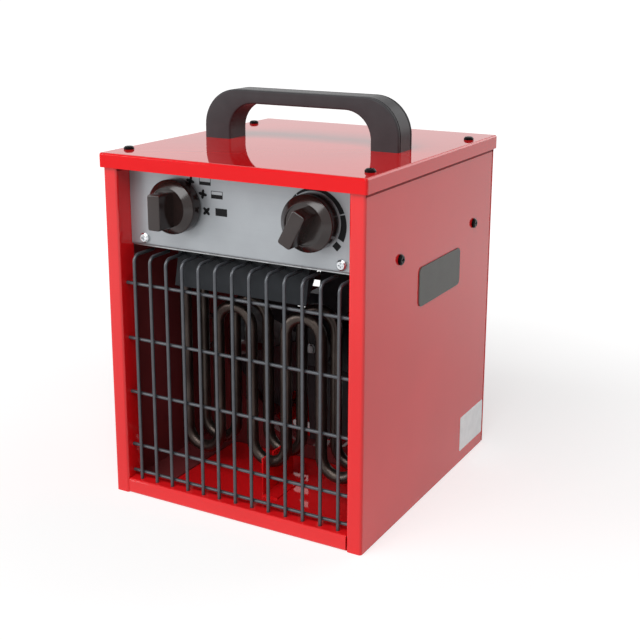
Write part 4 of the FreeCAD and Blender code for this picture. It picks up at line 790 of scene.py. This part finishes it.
def rounded_plate(shape, low, high, corner):
    """A flat plate across the X axis with rounded corners; gives its face."""
    verts = add_sheet(shape, low, Vector((low.x, high.y, high.z)), "Y")
    rounded = bmesh.ops.bevel(
        shape, geom=verts, offset=corner, offset_type="OFFSET", affect="VERTICES",
        segments=CORNER_SEGMENTS, profile=0.5, material=-1)
    return max(rounded["verts"][0].link_faces, key=lambda face: face.calc_area())


def winding_shape():
    """The motor's winding: a rounded block, ridged by its turns."""
    size = sizes()
    low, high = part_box("motor_coil")
    inset = Vector((size.bobbin_flange, size.coil_turn, size.coil_turn))
    low, high = low + inset, high - inset
    to_middle = Matrix.Translation(-(low + high) / 2)
    shape = bmesh.new()
    face = rounded_plate(shape, low, high, size.coil_corner)
    steps = 2 * round((high.x - low.x) / size.coil_turn)
    swell = 1 + 2 * size.coil_ridge / (high.z - low.z)
    for step in range(steps):
        grown = bmesh.ops.extrude_face_region(
            shape, geom=[face, *face.edges, *face.verts])["geom"]
        verts = [item for item in grown if isinstance(item, bmesh.types.BMVert)]
        face = next(item for item in grown if isinstance(item, bmesh.types.BMFace))
        bmesh.ops.translate(shape, vec=((high.x - low.x) / steps, 0, 0), verts=verts)
        ratio = swell if step % 2 == 0 else 1 / swell
        bmesh.ops.scale(shape, vec=(1, ratio, ratio), verts=verts, space=to_middle)
    return shape


def bobbin_shape():
    """The end plates of the winding's bobbin."""
    size = sizes()
    low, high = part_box("motor_coil")
    shape = bmesh.new()
    for x in (low.x, high.x - size.bobbin_flange):
        face = rounded_plate(shape, Vector((x, low.y, low.z)), high, size.coil_corner)
        thicken(shape, [face], (size.bobbin_flange, 0, 0))
    return shape


class HEATER_OT_casing(bpy.types.Operator):
    """Coats the sheet steel of the casing"""
    bl_idname = "heater.casing"
    bl_label = "Casing"

    def execute(self, context):
        dress("shaded_thin_powder_coat", "left_side", "right_side", "lid", "back_panel", "fan_bulkhead")
        dress("polyester_powder_coat", "floor_pan", "element_support")
        return {"FINISHED"}


class HEATER_OT_handle(bpy.types.Operator):
    """Moulds the carrying handle"""
    bl_idname = "heater.handle"
    bl_label = "Handle"

    def execute(self, context):
        make_piece("carrying_handle", handle_shape(), "moulded_nylon", "casing",
                   ["handle"])
        return {"FINISHED"}


class HEATER_OT_knobs(bpy.types.Operator):
    """Moulds the selector knob and the thermostat knob"""
    bl_idname = "heater.knobs"
    bl_label = "Knobs"

    def execute(self, context):
        for name, node_name, body, degrees in (
            ("selector_grip", "selector_knob", "selector", 0),
            ("thermostat_grip", "thermostat_knob", "thermostat_dial", 27.5),
        ):
            shape = knob_shape(math.radians(degrees), knob_centre(node_name))
            make_piece(name, shape, "moulded_phenolic", body, [node_name])
        dress("galvanised_steel", "selector_shaft", "thermostat_shaft")
        return {"FINISHED"}


class HEATER_OT_control_panel(bpy.types.Operator):
    """Finishes the control panel and prints its signs"""
    bl_idname = "heater.control_panel"
    bl_label = "Control panel"

    def execute(self, context):
        dress("brushed_aluminium", "control_panel")
        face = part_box("control_panel")[0].y
        centre = knob_centre("selector_knob")
        shape = bmesh.new()
        for fan_place, box_place, share, degrees in SIGNS:
            fan, box = ((centre.x + right * MM, centre.z + up * MM)
                        for right, up in (fan_place, box_place))
            add_fan_sign(shape, fan, math.radians(degrees), face)
            add_heat_sign(shape, box, share, face)
        add_scale(shape, knob_centre("thermostat_knob"), face)
        bmesh.ops.remove_doubles(shape, verts=shape.verts, dist=TOUCH)
        thicken(shape, shape.faces[:], (0, -sizes().print_film, 0))
        make_piece("panel_print", shape, "screen_print_ink", "casing")
        return {"FINISHED"}


class HEATER_OT_grille(bpy.types.Operator):
    """Coats the front grille"""
    bl_idname = "heater.grille"
    bl_label = "Front grille"

    def execute(self, context):
        dress("coated_wire", "front_grille")
        return {"FINISHED"}


class HEATER_OT_heating(bpy.types.Operator):
    """Finishes the heating elements, their bushes and the deflector"""
    bl_idname = "heater.heating"
    bl_label = "Heating elements"

    def execute(self, context):
        dress("heat_resisting_steel", "element_front", "element_rear")
        dress("steatite", "element_bushes")
        dress("galvanised_steel", "element_terminals", "thermal_cutout")
        dress("stove_enamel", "deflector")
        return {"FINISHED"}


class HEATER_OT_fan_section(bpy.types.Operator):
    """Finishes the fan and its motor, and winds the motor's coil"""
    bl_idname = "heater.fan_section"
    bl_label = "Fan and motor"

    def execute(self, context):
        dress("fan_nylon", "fan_wheel")
        dress("galvanised_steel", "motor_bridge", "motor_front_bracket", "motor_rear_bracket",
              "motor_rotor", "fan_nut", "motor_nuts", "motor_screws", "bridge_screws")
        dress("laminated_steel", "motor_stator")
        dress("sintered_bronze", "motor_bushes")
        make_piece("motor_winding", winding_shape(), "enamelled_copper", "casing",
                   ["motor_coil"], smooth_to=75.0)
        make_piece("motor_bobbin", bobbin_shape(), "steatite", "casing")
        return {"FINISHED"}


class HEATER_OT_wiring(bpy.types.Operator):
    """Finishes the control compartment: shelf, switch, thermostat, terminals and cable gland"""
    bl_idname = "heater.wiring"
    bl_label = "Control compartment"

    def execute(self, context):
        dress("galvanised_steel", "control_shelf")
        dress("moulded_nylon", "selector_switch", "thermostat", "cable_gland", "gland_locknut")
        dress("steatite", "terminal_block")
        return {"FINISHED"}


class HEATER_OT_fasteners(bpy.types.Operator):
    """Finishes the screws"""
    bl_idname = "heater.fasteners"
    bl_label = "Fasteners"

    def execute(self, context):
        dress("nickel_plate", "panel_screws", "control_screws", "terminal_screws",
              "cutout_screws", "back_screws", "handle_screws")
        dress("black_oxide", "lid_screws", "side_screws")
        return {"FINISHED"}


class HEATER_OT_side_labels(bpy.types.Operator):
    """Finishes the side plate and sticks the blank foil below it"""
    bl_idname = "heater.side_labels"
    bl_label = "Side plate and foil"

    def execute(self, context):
        dress("plate_enamel", "side_plate")
        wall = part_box("right_side")[1].x
        low, high = (Vector((wall, y * MM, z * MM)) for y, z in (LABEL_LOW, LABEL_HIGH))
        shape = bmesh.new()
        face = rounded_plate(shape, low, high, sizes().label_corner)
        thicken(shape, [face], (sizes().label_film, 0, 0))
        make_piece("foil_label", shape, "metallised_foil", "casing")
        return {"FINISHED"}


WHITE = (1, 1, 1, 1)
# The floor as the camera sees it: a grey that takes the shadow, and a glow that grows from the
# first strength to the second between two distances from the object's middle, in metres. The weaker
# glow near the object is painted shade on the floor round it, which also darkens the lower sides
# that mirror this floor.
SHADOW_GREY = (0.5, 0.5, 0.5, 1)
GLOW = {"From Min": 0.15, "From Max": 0.85, "To Min": 0.6, "To Max": 0.93}
FLOOR_RADIUS, FLOOR_GAP = 40.0, 0.2 * MM
LAMP_AIM = Vector((0, 0, 0.2))
SOFT_BOX_PLACE, SOFT_BOX_SIZE = Vector((0.15, -1.4, 1.7)), (2.0, 1.2)
SENSOR_WIDTH = 36.0


class HEATER_OT_stage(bpy.types.Operator):
    """Sets up the floor, the lights and the camera"""
    bl_idname = "heater.stage"
    bl_label = "Stage"

    def execute(self, context):
        scene = context.scene
        stage = scene.heater_stage
        self.lay_floor()
        self.light(stage)
        self.place_camera(scene, stage)
        scene.view_settings.view_transform = "Standard"
        return {"FINISHED"}

    def seen_directly(self, tree):
        """One where the camera looks at a surface, straight, in a reflection or through glass."""
        path = add_node(tree, "ShaderNodeLightPath")
        seen = path.outputs["Is Camera Ray"]
        for ray in ("Is Glossy Ray", "Is Transmission Ray"):
            seen = add_node(tree, "ShaderNodeMath", {0: seen, 1: path.outputs[ray]},
                            operation="MAXIMUM").outputs[0]
        return seen

    def lay_floor(self):
        """A pale floor that keeps the shadow and runs out to white."""
        material = bpy.data.materials.new("studio_floor")
        material.use_nodes = True
        tree = material.node_tree
        tree.nodes.clear()
        plain = add_node(tree, "ShaderNodeBsdfDiffuse", {"Color": rgba(colours().floor)})
        shadow = add_node(tree, "ShaderNodeBsdfDiffuse", {"Color": SHADOW_GREY})
        place = add_node(tree, "ShaderNodeTexCoord").outputs["Object"]
        away = add_node(tree, "ShaderNodeVectorMath", {0: place}, operation="LENGTH")
        # Painted shade: the glow is weaker near the object.
        fade = add_node(tree, "ShaderNodeMapRange", {"Value": away.outputs["Value"], **GLOW},
                        interpolation_type="SMOOTHSTEP")
        glow = add_node(tree, "ShaderNodeEmission", {"Strength": fade.outputs["Result"]})
        shown = add_node(tree, "ShaderNodeAddShader", {0: shadow.outputs[0], 1: glow.outputs[0]})
        mix = add_node(tree, "ShaderNodeMixShader", {
            0: self.seen_directly(tree), 1: plain.outputs[0], 2: shown.outputs[0]})
        add_node(tree, "ShaderNodeOutputMaterial", {"Surface": mix.outputs[0]})
        shape = bmesh.new()
        bmesh.ops.create_circle(shape, cap_ends=True, segments=96, radius=FLOOR_RADIUS)
        mesh = bpy.data.meshes.new("floor")
        shape.to_mesh(mesh)
        shape.free()
        mesh.materials.append(material)
        floor = bpy.data.objects.new("floor", mesh)
        bpy.context.scene.collection.objects.link(floor)
        floor.location.z = CAD_BOX[0][2] - FLOOR_GAP

    def light(self, stage):
        """Soft light from front left and back right, a soft box in front, and white all round."""
        world = bpy.data.worlds.new("studio")
        bpy.context.scene.world = world
        world.use_nodes = True
        tree = world.node_tree
        tree.nodes.clear()
        around = add_node(tree, "ShaderNodeBackground", {
            "Color": WHITE, "Strength": stage.ambient})
        white = add_node(tree, "ShaderNodeBackground", {"Color": WHITE, "Strength": 1.0})
        mix = add_node(tree, "ShaderNodeMixShader", {
            0: self.seen_directly(tree), 1: around.outputs[0], 2: white.outputs[0]})
        add_node(tree, "ShaderNodeOutputWorld", {"Surface": mix.outputs[0]})
        for name, place, strength, spread in (
            ("key", (-7.1, -6.0, 2.4), stage.key_power, 28),
            ("fill", (4.5, 8.5, 3.7), stage.fill_power, 45),
        ):
            lamp = bpy.data.lights.new(name, "SUN")
            lamp.energy = strength
            lamp.angle = math.radians(spread)
            self.hang(lamp, Vector(place))
        box = bpy.data.lights.new("soft_box", "AREA")
        box.energy = stage.box_power
        box.shape = "RECTANGLE"
        box.size, box.size_y = SOFT_BOX_SIZE
        self.hang(box, SOFT_BOX_PLACE)

    def hang(self, lamp, place):
        """Hangs a lamp and aims it at the object."""
        holder = bpy.data.objects.new(lamp.name, lamp)
        holder.location = place
        holder.rotation_euler = (place - LAMP_AIM).to_track_quat("Z", "Y").to_euler()
        bpy.context.scene.collection.objects.link(holder)

    def place_camera(self, scene, stage):
        """A camera where the photographer stood."""
        sine, cosine = math.sin(stage.azimuth), math.cos(stage.azimuth)
        level = math.cos(stage.elevation)
        back = Vector((sine * level, -cosine * level, math.sin(stage.elevation)))
        right = Vector((0, 0, 1)).cross(back).normalized()
        up = back.cross(right)
        tilt = Matrix.Rotation(stage.roll, 3, back)
        axes = Matrix((tilt @ right, tilt @ up, back)).transposed()
        lens = bpy.data.cameras.new("photographer")
        lens.sensor_width = SENSOR_WIDTH
        lens.lens = stage.lens
        lens.shift_y = stage.rise
        camera = bpy.data.objects.new("photographer", lens)
        camera.matrix_world = Matrix.Translation(stage.place) @ axes.to_4x4()
        scene.collection.objects.link(camera)
        scene.camera = camera


OPERATORS = (
    HEATER_OT_casing,
    HEATER_OT_handle,
    HEATER_OT_knobs,
    HEATER_OT_control_panel,
    HEATER_OT_grille,
    HEATER_OT_heating,
    HEATER_OT_fan_section,
    HEATER_OT_wiring,
    HEATER_OT_fasteners,
    HEATER_OT_side_labels,
    HEATER_OT_stage,
)


class HEATER_PT_panel(bpy.types.Panel):
    """Lists the heater's pieces"""
    bl_idname = "HEATER_PT_panel"
    bl_label = "Fan Heater"
    bl_space_type = "VIEW_3D"
    bl_region_type = "UI"
    bl_category = "Fan Heater"

    def draw(self, context):
        for operator in OPERATORS:
            self.layout.operator(operator.bl_idname)


GROUPS = {"heater_sizes": HeaterSizes, "heater_colours": HeaterColours, "heater_stage": HeaterStage}
CLASSES = (*GROUPS.values(), *OPERATORS, HEATER_PT_panel)


def register():
    """Adds the classes and the settings to Blender."""
    for part in CLASSES:
        bpy.utils.register_class(part)
    for name, group in GROUPS.items():
        setattr(bpy.types.Scene, name, bpy.props.PointerProperty(type=group))


def unregister():
    """Takes the settings and the classes out again."""
    for name in GROUPS:
        delattr(bpy.types.Scene, name)
    for part in reversed(CLASSES):
        bpy.utils.unregister_class(part)


def main():
    """Makes the pieces and the stage in order."""
    register()
    bpy.ops.heater.casing()
    bpy.ops.heater.handle()
    bpy.ops.heater.knobs()
    bpy.ops.heater.control_panel()
    bpy.ops.heater.grille()
    bpy.ops.heater.heating()
    bpy.ops.heater.fan_section()
    bpy.ops.heater.wiring()
    bpy.ops.heater.fasteners()
    bpy.ops.heater.side_labels()
    bpy.ops.heater.stage()


if __name__ == "__main__":
    main()
